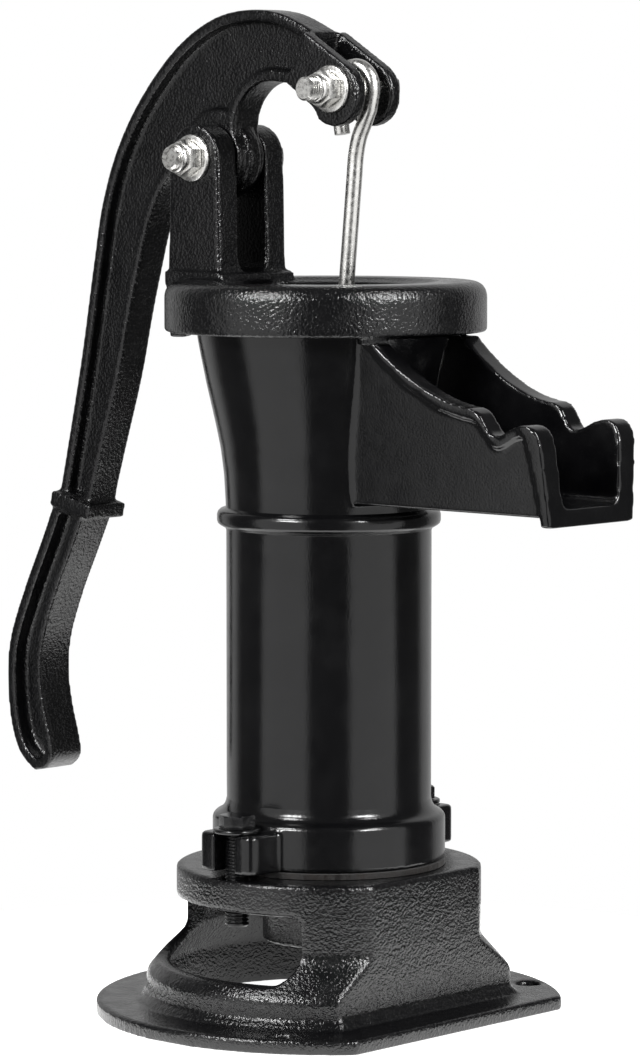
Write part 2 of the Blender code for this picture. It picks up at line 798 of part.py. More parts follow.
def recess(name, outline):
    """The hollow of one side of the lever, inside its rim, kept clear of the boss round the fulcrum."""
    inner = shrunk(outline, LEVER_RIM)
    hollows = []
    x, z = FULCRUM
    for side in (-1, 1):
        low, high = sorted((side * LEVER_WEB_HALF_Y, side * 40 * MM))
        hollow = helper(f"{name}_{side}", prism_mesh(name, inner, low, high))
        keep = cylinder_mesh("keep", LEVER_BOSS_R + 4 * MM, (x, -60 * MM, z), (x, 60 * MM, z), 40)
        cut(hollow, helper(f"{name}_keep_{side}", keep))
        hollows.append(hollow)
    return hollows


def arm_outline():
    back = mm(
        [
            (-4, 500.2),
            (-26, 509),
            (-50, 511),
            (-74, 506.3),
            (-99, 492.1),
            (-123.5, 467.8),
            (-141.5, 441),
            (-153, 412),
            (-160, 379),
            (-168.4, 334.5),
            (-176.2, 299),
            (-185.5, 259),
            (-186.5, 252),
        ]
    )
    front = mm(
        [
            (-162.6, 248),
            (-160.8, 259),
            (-153, 284),
            (-141.5, 320),
            (-134, 350.4),
            (-127.8, 373),
            (-119.5, 400),
            (-110.2, 418.7),
            (-101, 428),
            (-88, 433),
        ]
    )
    gooseneck = arc((-33 * MM, 450.5 * MM), 24.3 * MM, 196, 80, 10)
    throat = mm([(-60, 430)])
    head = mm([(-14.3, 473.2), (-4, 472)])
    return smooth(back, 3) + smooth(front, 3) + throat + gooseneck + head


def grip_outline():
    back = mm(
        [
            (-188, 252),
            (-192.3, 243.7),
            (-198.5, 230.4),
            (-211.8, 203.6),
            (-222.4, 178),
            (-225.4, 157),
            (-223.2, 132),
            (-216.5, 114.5),
            (-205, 105.2),
        ]
    )
    front = mm(
        [
            (-197, 106.8),
            (-191.3, 113),
            (-192, 122),
            (-197.6, 142),
            (-200, 160),
            (-197.4, 179),
            (-188, 203),
            (-176.4, 226),
            (-166.4, 247),
            (-165, 252),
        ]
    )
    return smooth(back, 3) + smooth(front, 3)


def head_outline():
    """The fork that takes the rod: a tapering block with a round end."""
    return [
        *mm([(-3.2, 499.8), (-8.2, 487), (-11.5, 480.2), (-15.3, 474.2), (4.2, 461.1)]),
        *arc((17.6 * MM, 468.3 * MM), 16.3 * MM, 232, 420, 20),
    ]


def make_lever():
    arm = prism_mesh("lever", arm_outline(), -LEVER_HALF_Y, LEVER_HALF_Y)
    lever = piece("lever", arm, CAST_IRON)
    grip = helper("lever_grip", prism_mesh("grip", grip_outline(), -GRIP_HALF_Y, GRIP_HALF_Y))

    def across(name, radius, pivot, half_y, sides=SMALL_STEPS):
        """A cylinder along a pivot's axis."""
        x, z = pivot
        return helper(f"lever_{name}", cylinder_mesh(name, radius, (x, -half_y, z), (x, half_y, z), sides))

    collar = box_mesh("collar", [-v for v in COLLAR_HALF], COLLAR_HALF)
    place = Matrix.Translation((COLLAR_CENTRE[0], 0, COLLAR_CENTRE[1]))
    collar.transform(place @ Matrix.Rotation(COLLAR_TURN, 4, "Y"))
    head = helper("lever_head", prism_mesh("head", head_outline(), -HEAD_HALF_Y, HEAD_HALF_Y))
    slot_outline = mm([(1, 520), (-2, 498), (-8, 470), (-6, 440), (60, 440), (60, 520)])
    slot = helper("lever_slot", prism_mesh("slot", slot_outline, -HEAD_SLOT_HALF_Y, HEAD_SLOT_HALF_Y))
    cut(grip, *recess("grip_recess", grip_outline()))
    join(lever, across("boss", LEVER_BOSS_R, FULCRUM, LEVER_HALF_Y, 40))
    cut(lever, *recess("arm_recess", arm_outline()))
    join(lever, grip, helper("lever_collar", collar), head)
    cut(lever, slot)
    cut(lever, across("fulcrum_hole", BOLT_HOLE_R, FULCRUM, 60 * MM))
    cut(lever, across("front_hole", BOLT_HOLE_R, FRONT_PIN, 60 * MM))


# --- bolts ---------------------------------------------------------------------------------------


def make_washer(name, bore, radius, start, end, material):
    start = Vector(start)
    end = Vector(end)
    washer = piece(name, cylinder_mesh(name, radius, start, end), material)
    along = (end - start).normalized() * 2 * MM
    cut(washer, helper(f"{name}_hole", cylinder_mesh("hole", bore, start - along, end + along)))


def make_bolt(name, head_at, direction, grip_length, material):
    """A hexagon-headed bolt: head_at is the middle of its seat, and direction runs down the shank."""
    seat = Vector(head_at)
    along = Vector(direction)
    shank = cylinder_mesh(name, BOLT_R, seat - along * 2 * MM, seat + along * grip_length)
    bolt = piece(name, shank, material)
    head = cylinder_mesh(f"{name}_head", BOLT_HEAD_R, seat - along * BOLT_HEAD_T, seat, 6)
    join(bolt, helper(f"{name}_head", head))


def make_lock_nut(name, seat, direction, material):
    """A hexagon nut with a round collar on its outer end."""
    seat = Vector(seat)
    along = Vector(direction)
    end = seat + along * NUT_T
    nut = piece(name, cylinder_mesh(name, BOLT_HEAD_R, seat, end, 6), material)
    collar = cylinder_mesh("collar", NUT_COLLAR_R, end - along * 1 * MM, end + along * NUT_COLLAR_T)
    join(nut, helper(f"{name}_collar", collar))
    hole = cylinder_mesh("nut_hole", BOLT_R + GAP, seat - along * 5 * MM, end + along * 10 * MM)
    cut(nut, helper(f"{name}_hole", hole))


def make_cross_bolt(name, pivot, half_y, tail):
    """A bolt across the pump, its head on the far side, a lock nut and a tail of thread on the near side."""
    x, z = pivot
    near = -half_y - GAP
    far = half_y + GAP
    clear = BOLT_R + GAP
    make_washer(f"{name}_washer_near", clear, WASHER_R, (x, near, z), (x, near - WASHER_T, z), ZINC)
    make_washer(f"{name}_washer_far", clear, WASHER_R, (x, far, z), (x, far + WASHER_T, z), ZINC)
    nut_seat = near - WASHER_T - GAP
    head_seat = far + WASHER_T + GAP
    nut_end = nut_seat - NUT_T - NUT_COLLAR_T
    length = head_seat - nut_end + tail
    make_bolt(f"{name}_bolt", (x, head_seat, z), (0, -1, 0), length, ZINC)
    make_lock_nut(f"{name}_lock_nut", (x, nut_seat, z), (0, -1, 0), ZINC)


def make_flange_bolts():
    for side, hand in ((-1, "near"), (1, "far")):
        y = side * FLANGE_BOLT_Y
        low = LUG_TOP_Z + GAP
        ends = ((0, y, low), (0, y, low + WASHER_T))
        make_washer(f"flange_washer_{hand}", BOLT_R + GAP, WASHER_R, *ends, BLACK_STEEL)
        make_bolt(f"flange_bolt_{hand}", (0, y, low + WASHER_T + GAP), (0, 0, -1), 50 * MM, BLACK_STEEL)


# --- rod and plunger -----------------------------------------------------------------------------


def rod_path():
    """Hook tail, loop over the pin, the set in the bar, and the straight run down to the plunger."""
    cx, cz = HOOK_CENTRE
    tail = mm([(9.2, 448), (7.6, 458)])
    loop = arc((cx, cz), HOOK_R, 180, -12, 14)
    bend = smooth(mm([(27.4, 460.5), (24.0, 453.6), (20.4, 446.0), (18.3, 437.1), (17.3, 427)]), 3)
    foot_x, foot_z = ROD_FOOT
    return [*tail, *loop, *bend, (foot_x + 1.2 * MM, foot_z + 12 * MM), (foot_x, foot_z + 4 * MM)]


def make_rod():
    curve = bpy.data.curves.new("rod_curve", "CURVE")
    curve.dimensions = "3D"
    curve.bevel_depth = ROD_R
    curve.bevel_resolution = 2
    curve.use_fill_caps = True
    spline = curve.splines.new("POLY")
    points = rod_path()
    spline.points.add(len(points) - 1)
    for point, (x, z) in zip(spline.points, points):
        point.co = (x, 0, z, 1)
    guide = helper("rod_guide", curve)
    mesh = bpy.data.meshes.new_from_object(guide.evaluated_get(bpy.context.evaluated_depsgraph_get()))
    bpy.data.objects.remove(guide)
    bm = bmesh.new()
    bm.from_mesh(mesh)
    bmesh.ops.remove_doubles(bm, verts=bm.verts, dist=0.00001)
    bmesh.ops.recalc_face_normals(bm, faces=bm.faces)
    bm.to_mesh(mesh)
    bm.free()
    rod = piece("piston_rod", mesh, ZINC)

    # the slotted eye at its foot
    half_x, half_z = EYE_HALF
    centre = (ROD_FOOT[0] + EYE_SHIFT_X, ROD_FOOT[1] + 0.6 * MM)

    def stadium(grow):
        straight = half_x - half_z
        right = arc((centre[0] + straight, centre[1]), half_z + grow, -90, 90, 10)
        left = arc((centre[0] - straight, centre[1]), half_z + grow, 90, 270, 10)
        return right + left

    join(rod, helper("rod_eye", prism_mesh("eye", stadium(EYE_WALL), -EYE_HALF_Y, EYE_HALF_Y)))
    cut(rod, helper("rod_eye_slot", prism_mesh("eye_slot", stadium(0), -20 * MM, 20 * MM)))


def make_plunger():
    disc_low, disc_high = CAGE_DISC_Z
    leg_in, leg_out = CAGE_LEG_Y
    bridge_low, bridge_high = CAGE_BRIDGE_Z
    half_x = CAGE_HALF_X
    cage = piece(
        "plunger_cage",
        profile_mesh(
            "cage",
            [
                (CAGE_DISC_R, disc_high),
                (CAGE_DISC_R, disc_low),
                (CAGE_SPIGOT_R, disc_low),
                (CAGE_SPIGOT_R, CAGE_SPIGOT_Z),
                (CAGE_SEAT_R, CAGE_SPIGOT_Z),
                (CAGE_SEAT_R, disc_high),
            ],
            True,
        ),
        CAST_IRON,
    )
    turn(cage, INNER_STEPS)
    for side in (-1, 1):
        low_y, high_y = sorted((side * leg_in, side * leg_out))
        leg = box_mesh("leg", (-half_x, low_y, disc_high - 2 * MM), (half_x, high_y, bridge_low + 2 * MM))
        join(cage, helper(f"cage_leg_{side}", leg))
    bridge = box_mesh("bridge", (-half_x, -leg_out, bridge_low), (half_x, leg_out, bridge_high))
    fork_in, fork_out = CAGE_FORK_Y
    fork_outline = [
        (-half_x, bridge_high - 2 * MM),
        (half_x, bridge_high - 2 * MM),
        *arc((0, ROD_FOOT[1]), half_x, 0, 180, 12),
    ]
    fork = prism_mesh("fork", fork_outline, -fork_out, fork_out)
    fork_gap = box_mesh("fork_gap", (-20 * MM, -fork_in, bridge_high), (20 * MM, fork_in, 300 * MM))
    pin_hole = cylinder_mesh(
        "pin_hole", PLUNGER_PIN_R + GAP, (0, -40 * MM, ROD_FOOT[1]), (0, 40 * MM, ROD_FOOT[1])
    )
    join(cage, helper("cage_bridge", bridge), helper("cage_fork", fork))
    cut(cage, helper("cage_fork_gap", fork_gap), helper("cage_pin_hole", pin_hole))

    ends = (-fork_out - 2.5 * MM, fork_out + 0.4 * MM, fork_out + 1.2 * MM, fork_out + 2.6 * MM)
    tail, seat, shank_end, top = [(0, y, ROD_FOOT[1]) for y in ends]
    pin = piece("plunger_pin", cylinder_mesh("pin", PLUNGER_PIN_R, tail, shank_end), ZINC)
    pin_head = cylinder_mesh("pin_head", 4.5 * MM, seat, top)
    join(pin, helper("plunger_pin_head", pin_head))

    cup_high = disc_low - GAP
    cup_low = cup_high - 4 * MM
    lip_z = disc_high + 3 * MM
    cup = piece(
        "plunger_cup_leather",
        profile_mesh(
            "cup",
            [
                (CUP_R - 1.6 * MM, lip_z),
                (CUP_R, lip_z - 1 * MM),
                (CUP_R, cup_low + 3 * MM),
                (CUP_R - 3 * MM, cup_low),
                (CAGE_SPIGOT_R + GAP, cup_low),
                (CAGE_SPIGOT_R + GAP, cup_high),
                (CAGE_DISC_R + 0.5 * MM, cup_high),
                (CAGE_DISC_R + 1 * MM, lip_z - 2 * MM),
            ],
            True,
        ),
        LEATHER,
    )
    turn(cup, INNER_STEPS)

    ring_high = cup_low - GAP
    follower = piece(
        "plunger_follower",
        profile_mesh(
            "follower",
            [
                (36 * MM, ring_high),
                (37 * MM, ring_high - 1 * MM),
                (37 * MM, CAGE_SPIGOT_Z + 3.5 * MM),
                (35 * MM, CAGE_SPIGOT_Z + 1.5 * MM),
                (CAGE_SPIGOT_R + GAP, CAGE_SPIGOT_Z + 1.5 * MM),
                (CAGE_SPIGOT_R + GAP, ring_high),
            ],
            True,
        ),
        CAST_IRON,
    )
    turn(follower, INNER_STEPS)

    seat_z = disc_high + GAP
    valve = piece(
        "plunger_valve",
        profile_mesh(
            "valve",
            [
                (0, seat_z + 8 * MM),
                (6 * MM, seat_z + 8 * MM),
                (8 * MM, seat_z + 3.5 * MM),
                (20 * MM, seat_z + 3.5 * MM),
                (21.5 * MM, seat_z + 2 * MM),
                (21.5 * MM, seat_z),
                (0, seat_z),
            ],
            False,
        ),
        BRASS,
    )
    turn(valve, INNER_STEPS)
    wing = CAGE_SEAT_R - 1 * MM
    for turned in (0, 90):
        vane = box_mesh("vane", (-wing, -1.5 * MM, seat_z - 15 * MM), (wing, 1.5 * MM, seat_z + 1 * MM))
        vane.transform(Matrix.Rotation(math.radians(turned), 4, "Z"))
        join(valve, helper(f"valve_vane_{turned}", vane))


# --- assembly ------------------------------------------------------------------------------------


def empty_at(name, x, z, parent):
    empty = bpy.data.objects.new(name, None)
    PARTS.objects.link(empty)
    empty.location = (x, 0, z)
    empty.parent = parent
    return empty


def hang(parent, origin, names):
    """Puts pieces under the empty on their joint's axis; their meshes stay where they were modelled."""
    for name in names:
        obj = bpy.data.objects[name]
        obj.parent = parent
        obj.location = (obj.location.x - origin[0], 0, -origin[1])


def assemble():
    frame = empty_at("pump_frame", AXIS_X, 0, None)
    lever_axis = empty_at("lever_axis", *FULCRUM, frame)
    rod_axis = empty_at("rod_axis", FRONT_PIN[0] - FULCRUM[0], FRONT_PIN[1] - FULCRUM[1], lever_axis)
    plunger_axis = empty_at("plunger_axis", 0, ROD_FOOT[1], frame)
    flap_axis = empty_at("flap_axis", FLAP_HINGE_X, GASKET_Z + LEATHER_T / 2, frame)
    front = ["front_bolt", "front_washer_near", "front_washer_far", "front_lock_nut"]
    hang(lever_axis, FULCRUM, ["lever", *front])
    hang(rod_axis, FRONT_PIN, ["piston_rod"])
    hang(
        plunger_axis,
        (0, ROD_FOOT[1]),
        ["plunger_cage", "plunger_pin", "plunger_cup_leather", "plunger_follower", "plunger_valve"],
    )
    flap = ["flap", "weight", "screw", "washer", "nut"]
    hang(flap_axis, (FLAP_HINGE_X, GASKET_Z + LEATHER_T / 2), [f"foot_valve_{name}" for name in flap])
    for obj in list(bpy.data.objects):
        if obj.parent is None and obj is not frame:
            obj.parent = frame


clear_scene()
PARTS = new_collection("hand_well_pump")
CUTTERS = new_collection("cutters")
ENAMEL = finish("gloss_black_enamel", (0.011, 0.011, 0.012), 0.16, 0.0)
CAST_IRON = finish("black_enamel_on_rough_casting", (0.012, 0.012, 0.013), 0.28, 0.0)
BLACK_STEEL = finish("black_painted_steel", (0.012, 0.012, 0.013), 0.3, 0.0)
ZINC = finish("bright_zinc_plate", (0.62, 0.62, 0.60), 0.28, 1.0)
BRASS = finish("brass", (0.56, 0.39, 0.15), 0.35, 1.0)
LEATHER = finish("oiled_leather", (0.12, 0.055, 0.022), 0.6, 0.0)
make_stand()
make_foot_valve()
make_barrel()
make_cap()
make_set_screw()
make_lever()
make_cross_bolt("fulcrum", FULCRUM, EAR_OUTER_Y, 3.5 * MM)
make_cross_bolt("front", FRONT_PIN, HEAD_HALF_Y, 7 * MM)
make_flange_bolts()
make_rod()
make_plunger()
assemble()
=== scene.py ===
# %% [markdown]
# # A hand well pump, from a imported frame
#
# This lesson dresses a measured model of a cast-iron pitcher pump. The frame gives every piece its size, its
# place and its joints. What it doesn't give is the look of the real thing: soft cast edges, a pebbled
# coat of black enamel, bright zinc on the bolts, and threads. Each cell makes one of those.

# %% Load the frame
import json
import math

import bpy
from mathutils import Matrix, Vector

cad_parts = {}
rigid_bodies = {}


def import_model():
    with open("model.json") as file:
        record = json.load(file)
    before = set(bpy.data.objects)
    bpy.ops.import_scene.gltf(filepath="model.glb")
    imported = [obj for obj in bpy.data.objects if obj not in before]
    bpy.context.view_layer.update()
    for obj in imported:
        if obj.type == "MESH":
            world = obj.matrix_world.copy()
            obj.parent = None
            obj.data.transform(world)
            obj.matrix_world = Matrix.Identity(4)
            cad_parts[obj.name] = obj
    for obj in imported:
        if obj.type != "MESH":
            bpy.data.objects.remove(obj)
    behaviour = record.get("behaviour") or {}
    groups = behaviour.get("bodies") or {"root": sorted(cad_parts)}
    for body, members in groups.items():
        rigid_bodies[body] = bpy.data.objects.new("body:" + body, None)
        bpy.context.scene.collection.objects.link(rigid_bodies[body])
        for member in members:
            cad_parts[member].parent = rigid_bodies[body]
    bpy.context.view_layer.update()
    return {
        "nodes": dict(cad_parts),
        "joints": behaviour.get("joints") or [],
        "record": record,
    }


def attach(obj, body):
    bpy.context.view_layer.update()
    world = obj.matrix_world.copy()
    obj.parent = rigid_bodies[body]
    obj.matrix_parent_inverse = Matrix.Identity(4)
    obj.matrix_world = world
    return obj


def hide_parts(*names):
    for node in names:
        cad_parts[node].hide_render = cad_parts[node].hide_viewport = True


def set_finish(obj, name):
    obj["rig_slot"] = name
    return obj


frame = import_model()

# %% [markdown]
# Every place is read from the frame: the barrel's axis from the stand's mounting face, and the two pivots
# from the joints. Sizes below are written in millimetres, as on a drawing, and `MM` turns them into metres.

# %% Places that the frame gives
MM = 0.001
mounts = {mount["name"]: mount["pos_m"] for mount in frame["record"]["mounts"]}
joints = {joint["name"]: joint for joint in frame["joints"]}
AXIS = mounts["base_face"][0]
FULCRUM = Vector(joints["lever_swing"]["pos_m"])
FRONT = Vector(joints["rod_swing"]["pos_m"])
CAP_CENTRE = AXIS - 2.2 * MM  # the cap sits a little back from the barrel's axis
print("axis", AXIS, "fulcrum", FULCRUM[:], "front pin", FRONT[:])

# %% [markdown]
# ## Tools
#
# An operator in Blender acts on whatever is selected, and a freshly loaded frame is selected from end to
# end. So each helper here starts by letting go of everything. `settle` puts a finished piece's own centre
# back at the world's origin, which keeps patterns and joints in place later.

# %% Small tools for selecting and finishing
def let_go():
    """Leaves edit mode and selects nothing."""
    if bpy.context.mode != "OBJECT":
        bpy.ops.object.mode_set(mode="OBJECT")
    bpy.ops.object.select_all(action="DESELECT")


def pick(piece):
    """Makes one piece the only one selected, and the active one."""
    let_go()
    piece.select_set(True)
    bpy.context.view_layer.objects.active = piece


def settle(piece):
    """Writes a piece's place, turn and scale into its mesh."""
    pick(piece)
    bpy.ops.object.transform_apply(location=True, rotation=True, scale=True)


def apply_modifier(piece, kind, **settings):
    """Adds one modifier with its settings and applies it at once."""
    pick(piece)
    bpy.ops.object.modifier_add(type=kind)
    modifier = piece.modifiers[-1]
    for setting, value in settings.items():
        setattr(modifier, setting, value)
    bpy.ops.object.modifier_apply(modifier=modifier.name)


def carve(piece, *cutters):
    """Cuts the cutters out of a piece and removes them."""
    for cutter in cutters:
        apply_modifier(piece, "BOOLEAN", operation="DIFFERENCE", solver="EXACT", object=cutter)
        bpy.data.objects.remove(cutter)


def fuse(piece, *others):
    """Joins other solids to a piece in one skin and removes them."""
    for other in others:
        apply_modifier(piece, "BOOLEAN", operation="UNION", solver="EXACT", object=other)
        bpy.data.objects.remove(other)


def close_up(piece):
    """Welds double points and turns every face outwards."""
    pick(piece)
    bpy.ops.object.mode_set(mode="EDIT")
    bpy.ops.mesh.select_all(action="SELECT")
    bpy.ops.mesh.remove_doubles(threshold=0.000001)
    bpy.ops.mesh.normals_make_consistent(inside=False)
    let_go()


def smooth_shading(piece, degrees):
    """Shades a piece smooth but for the edges that turn by more than an angle."""
    pick(piece)
    bpy.ops.object.shade_smooth_by_angle(angle=math.radians(degrees))


# %% [markdown]
# Most of a pump is turned or flat. A turned piece is a circle that is extruded ring by ring, each ring
# resized about the axis, which is how a lathe's profile is built by hand. A flat piece is one point,
# extruded from corner to corner, filled, and then given its thickness.

# %% Turned and drawn shapes
def turned(name, rings, sides=128, x=AXIS, ring_shaped=False):
    """rings are (radius, height) pairs from the top down or the bottom up; a ring-shaped piece is hollow."""
    let_go()
    radius, z = rings[0]
    fill = "NOTHING" if ring_shaped else "NGON"
    bpy.ops.mesh.primitive_circle_add(vertices=sides, radius=radius, fill_type=fill, location=(x, 0, z))
    piece = bpy.context.object
    piece.name = name
    bpy.ops.object.mode_set(mode="EDIT")
    bpy.ops.mesh.select_all(action="SELECT")
    path = [*rings[1:], rings[0]] if ring_shaped else rings[1:]
    for next_radius, next_z in path:
        bpy.ops.mesh.extrude_region_move(TRANSFORM_OT_translate={"value": (0, 0, next_z - z)})
        grow = next_radius / radius
        bpy.ops.transform.resize(value=(grow, grow, 1), center_override=(x, 0, next_z))
        radius, z = next_radius, next_z
    close_up(piece)
    settle(piece)
    return piece


def drawn(name, outline, low, high, axis="Y"):
    """A closed outline of (across, up) points, extruded from low to high along an axis."""
    place = {
        "Y": lambda across, up, along: Vector((across, along, up)),
        "Z": lambda across, up, along: Vector((across, up, along)),
        "X": lambda across, up, along: Vector((along, across, up)),
    }[axis]
    let_go()
    bpy.ops.mesh.primitive_plane_add(size=0.001, location=place(*outline[0], low))
    piece = bpy.context.object
    piece.name = name
    bpy.ops.object.mode_set(mode="EDIT")
    bpy.ops.mesh.select_all(action="SELECT")
    bpy.ops.mesh.merge(type="CENTER")
    for start, end in zip(outline, outline[1:]):
        step = place(*end, low) - place(*start, low)
        bpy.ops.mesh.extrude_vertices_move(TRANSFORM_OT_translate={"value": step})
    bpy.ops.mesh.select_all(action="SELECT")
    bpy.ops.mesh.edge_face_add()
    thick = place(0, 0, high) - place(0, 0, low)
    bpy.ops.mesh.extrude_region_move(TRANSFORM_OT_translate={"value": thick})
    close_up(piece)
    settle(piece)
    return piece


def block(name, low, high):
    """A box between two corners."""
    let_go()
    middle = [(a + b) / 2 for a, b in zip(low, high)]
    bpy.ops.mesh.primitive_cube_add(size=1, location=middle, scale=[b - a for a, b in zip(low, high)])
    piece = bpy.context.object
    piece.name = name
    settle(piece)
    return piece


def bar(name, radius, start, end, sides=48):
    """A straight round bar between two points."""
    let_go()
    start, end = Vector(start), Vector(end)
    along = end - start
    turn = along.to_track_quat("Z", "Y").to_euler()
    bpy.ops.mesh.primitive_cylinder_add(
        vertices=sides, radius=radius, depth=along.length, location=(start + end) / 2, rotation=turn
    )
    piece = bpy.context.object
    piece.name = name
    settle(piece)
    return piece


# %% [markdown]
# Outlines of castings are soft curves. A few points that the shape needs are joined with a Catmull-Rom
# curve, which passes through each point, so the numbers stay readable as sizes in millimetres.

# %% Curves, arcs and rounded corners
def arc(centre, radius, start, end, count):
    """Points round a centre, from one angle to another in degrees."""
    angles = [math.radians(start + (end - start) * i / count) for i in range(count + 1)]
    return [(centre[0] + radius * math.cos(a), centre[1] + radius * math.sin(a)) for a in angles]


def between(a, b, c, d, t):
    """The Catmull-Rom blend from b to c, a share t of the way along."""
    return (2 * b + (c - a) * t + (2 * a - 5 * b + 4 * c - d) * t * t + (3 * b - a - 3 * c + d) * t**3) / 2


def soft(points, per_span=6):
    """A smooth curve through the points, which are in millimetres from the barrel's axis."""
    ends = [points[0], *points, points[-1]]
    curve = []
    for p, q, r, s in zip(ends, ends[1:], ends[2:], ends[3:]):
        for step in range(per_span):
            curve.append([between(*four, step / per_span) for four in zip(p, q, r, s)])
    return [*curve, list(points[-1])]


def placed(points):
    """Points in millimetres from the barrel's axis, as places in the frame."""
    return [(AXIS + x * MM, z * MM) for x, z in points]


def rounded(corners, count=6):
    """A closed outline with each (x, z, radius) corner rounded off, in millimetres."""
    outline = []
    for i, (x, z, radius) in enumerate(corners):
        here = Vector((x, z))
        before = (Vector(corners[i - 1][:2]) - here).normalized()
        after = (Vector(corners[(i + 1) % len(corners)][:2]) - here).normalized()
        if not radius:
            outline.append((x, z))
            continue
        reach = radius / math.tan(before.angle(after) / 2)
        start, end = here + before * reach, here + after * reach
        for step in range(count + 1):
            t = step / count
            outline.append(tuple(start * (1 - t) ** 2 + here * 2 * t * (1 - t) + end * t * t))
    return outline


# %% [markdown]
# A sand casting has no sharp edges: the pattern's corners are rounded so that the sand holds, the metal
# shrinks, and the coat of enamel rounds them further. To get that, each casting is first built crisp and is
# then rebuilt from small cubes, which makes an even skin, and smoothed. The smoothing rounds every
# edge and fills every inner corner by about the same radius, as the real process does.

# %% Round a crisp shape off like a casting
def cast_skin(piece, grain, passes):
    """grain is the size of the skin's faces in millimetres; more passes give rounder edges."""
    apply_modifier(piece, "REMESH", mode="VOXEL", voxel_size=grain * MM, adaptivity=0)
    apply_modifier(piece, "SMOOTH", factor=0.5, iterations=passes)
    pick(piece)
    bpy.ops.object.shade_smooth()
    print(piece.name, len(piece.data.polygons), "faces")


def round_off_near(piece, near, passes):
    """Smooths only the part of the skin where near(point), from 0 to 1, says so."""
    group = piece.vertex_groups.new(name="rounding")
    for vertex in piece.data.vertices:
        weight = near(vertex.co)
        if weight > 0.01:
            group.add([vertex.index], weight, "REPLACE")
    apply_modifier(piece, "SMOOTH", factor=0.5, iterations=passes, vertex_group="rounding")
    piece.vertex_groups.clear()


def thin_out(piece, unseen, ratio):
    """Uses fewer, larger faces where unseen(centre) says that nobody looks."""
    pick(piece)
    for face in piece.data.polygons:
        face.select = unseen(face.center)
    bpy.ops.object.mode_set(mode="EDIT")
    bpy.ops.mesh.select_mode(type="FACE")
    bpy.ops.mesh.decimate(ratio=ratio)
    bpy.ops.mesh.select_mode(type="VERT")
    let_go()
    print(piece.name, "thinned to", sum(len(face.vertices) - 2 for face in piece.data.polygons), "triangles")


# %% [markdown]
# ## The stand
#
# The stand is the heaviest casting. Its plate bolts to the well cover, and its front edge is cut straight to
# clear the bucket. The drum above is open underneath, with a window through both sides for a spanner on
# the pipe. It is turned first, the flat front and the windows are cut from it, and the boss for the pipe
# is added under the deck.

# %% The stand's outside and its hollow
PLATE_HOLE_CIRCLE = 109  # the radius on which the plate's holes lie
FLANGE_BOLT_Y = 68.5  # from the middle to each flange bolt


def stand_shape():
    outside = [
        (0.1, 76.5), (76.9, 76.5), (78, 75.4), (78, 41.5), (79, 38), (92.6, 22.6), (93.6, 20), (93.6, 11),
        (96.4, 9.8), (96.6, 7.3), (118.6, 7.3), (119.5, 6.4), (119.5, 0), (0.1, 0),
    ]
    inside = [(0.1, 60.4), (70.2, 60.4), (73.2, 57.4), (73.2, 39.5), (83, 23), (83, -5), (0.1, -5)]
    shape = turned("stand_casting", [(r * MM, z * MM) for r, z in outside], sides=160)
    hollow = turned("hollow", [(r * MM, z * MM) for r, z in inside], sides=160)
    far = 200 * MM

    def front(x, z):
        return block("front", (AXIS + x * MM, -far, z * MM), (AXIS + far, far, far))

    carve(hollow, front(61.7, -50))
    carve(shape, front(66.5, 11), front(69.5, 7.3), front(90, -50), hollow)
    window = rounded([(-71, 27, 10), (40.5, 27, 9), (40.5, 60.4, 5), (-71, 60.4, 5)])
    carve(shape, drawn("window", placed(window), -far, far))
    return shape


def stand_boss(shape):
    """The boss for the suction pipe, its socket, the way up through the deck, and the bolts' holes."""
    fuse(shape, turned("boss", [(34 * MM, 70 * MM), (34 * MM, 37 * MM)], sides=96))
    socket = [(r * MM, z * MM) for r, z in [(16, 90), (16, 66), (19.4, 66), (20.9, 35.5), (20.9, 30)]]
    carve(shape, turned("socket", socket, sides=96))
    for side in (-1, 1):
        bolt_y = side * FLANGE_BOLT_Y * MM
        carve(shape, bar("bolt_hole", 6.6 * MM, (AXIS, bolt_y, 50 * MM), (AXIS, bolt_y, 90 * MM)))
    for degrees in (60, 180, 300):
        x = AXIS + PLATE_HOLE_CIRCLE * MM * math.cos(math.radians(degrees))
        y = PLATE_HOLE_CIRCLE * MM * math.sin(math.radians(degrees))
        carve(shape, bar("plate_hole", 6.35 * MM, (x, y, -20 * MM), (x, y, 20 * MM)))


stand = stand_shape()
stand_boss(stand)
cast_skin(stand, 1.3, 5)
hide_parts("stand")
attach(stand, "pump")
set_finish(stand, "rough_casting")

# %% [markdown]
# ## The barrel and its spout
#
# The barrel is one casting: a straight body with a bead round it, a flare that carries the cap, a flange with
# two slotted lugs, and the spout. The straight part is smooth in life, so it stays a clean turned
# shape, while the flare with the spout, and the flange with its lugs, are rounded off as castings. The
# joins hide under the bead and under the flange's fillet.

# %% The spout's walls, rim and lip
SPOUT_LOW = 264.6  # the height of the walls' lower edge
SPOUT_HALF = 30.5  # half the spout's width there
DRAFT = 0.105  # how far each wall leans out for each millimetre of height


def spout_half_width(z):
    return SPOUT_HALF + DRAFT * (z - SPOUT_LOW)


def spout_section(name, proud, low, dip=0.0):
    """A slab as long as the spout whose sides lean out as they rise; dip bows its underside."""
    def half(z):
        return (spout_half_width(z) + proud) * MM

    corners = [(-half(low), low * MM), (0, (low - dip) * MM), (half(low), low * MM)]
    corners += [(half(366), 366 * MM), (-half(366), 366 * MM)]
    if not dip:
        corners.pop(1)
    return drawn(name, corners, AXIS + 20 * MM, AXIS + 180 * MM, axis="X")


def keep_common(piece, other):
    """Keeps what two solids share."""
    apply_modifier(piece, "BOOLEAN", operation="INTERSECT", solver="EXACT", object=other)
    bpy.data.objects.remove(other)
    return piece


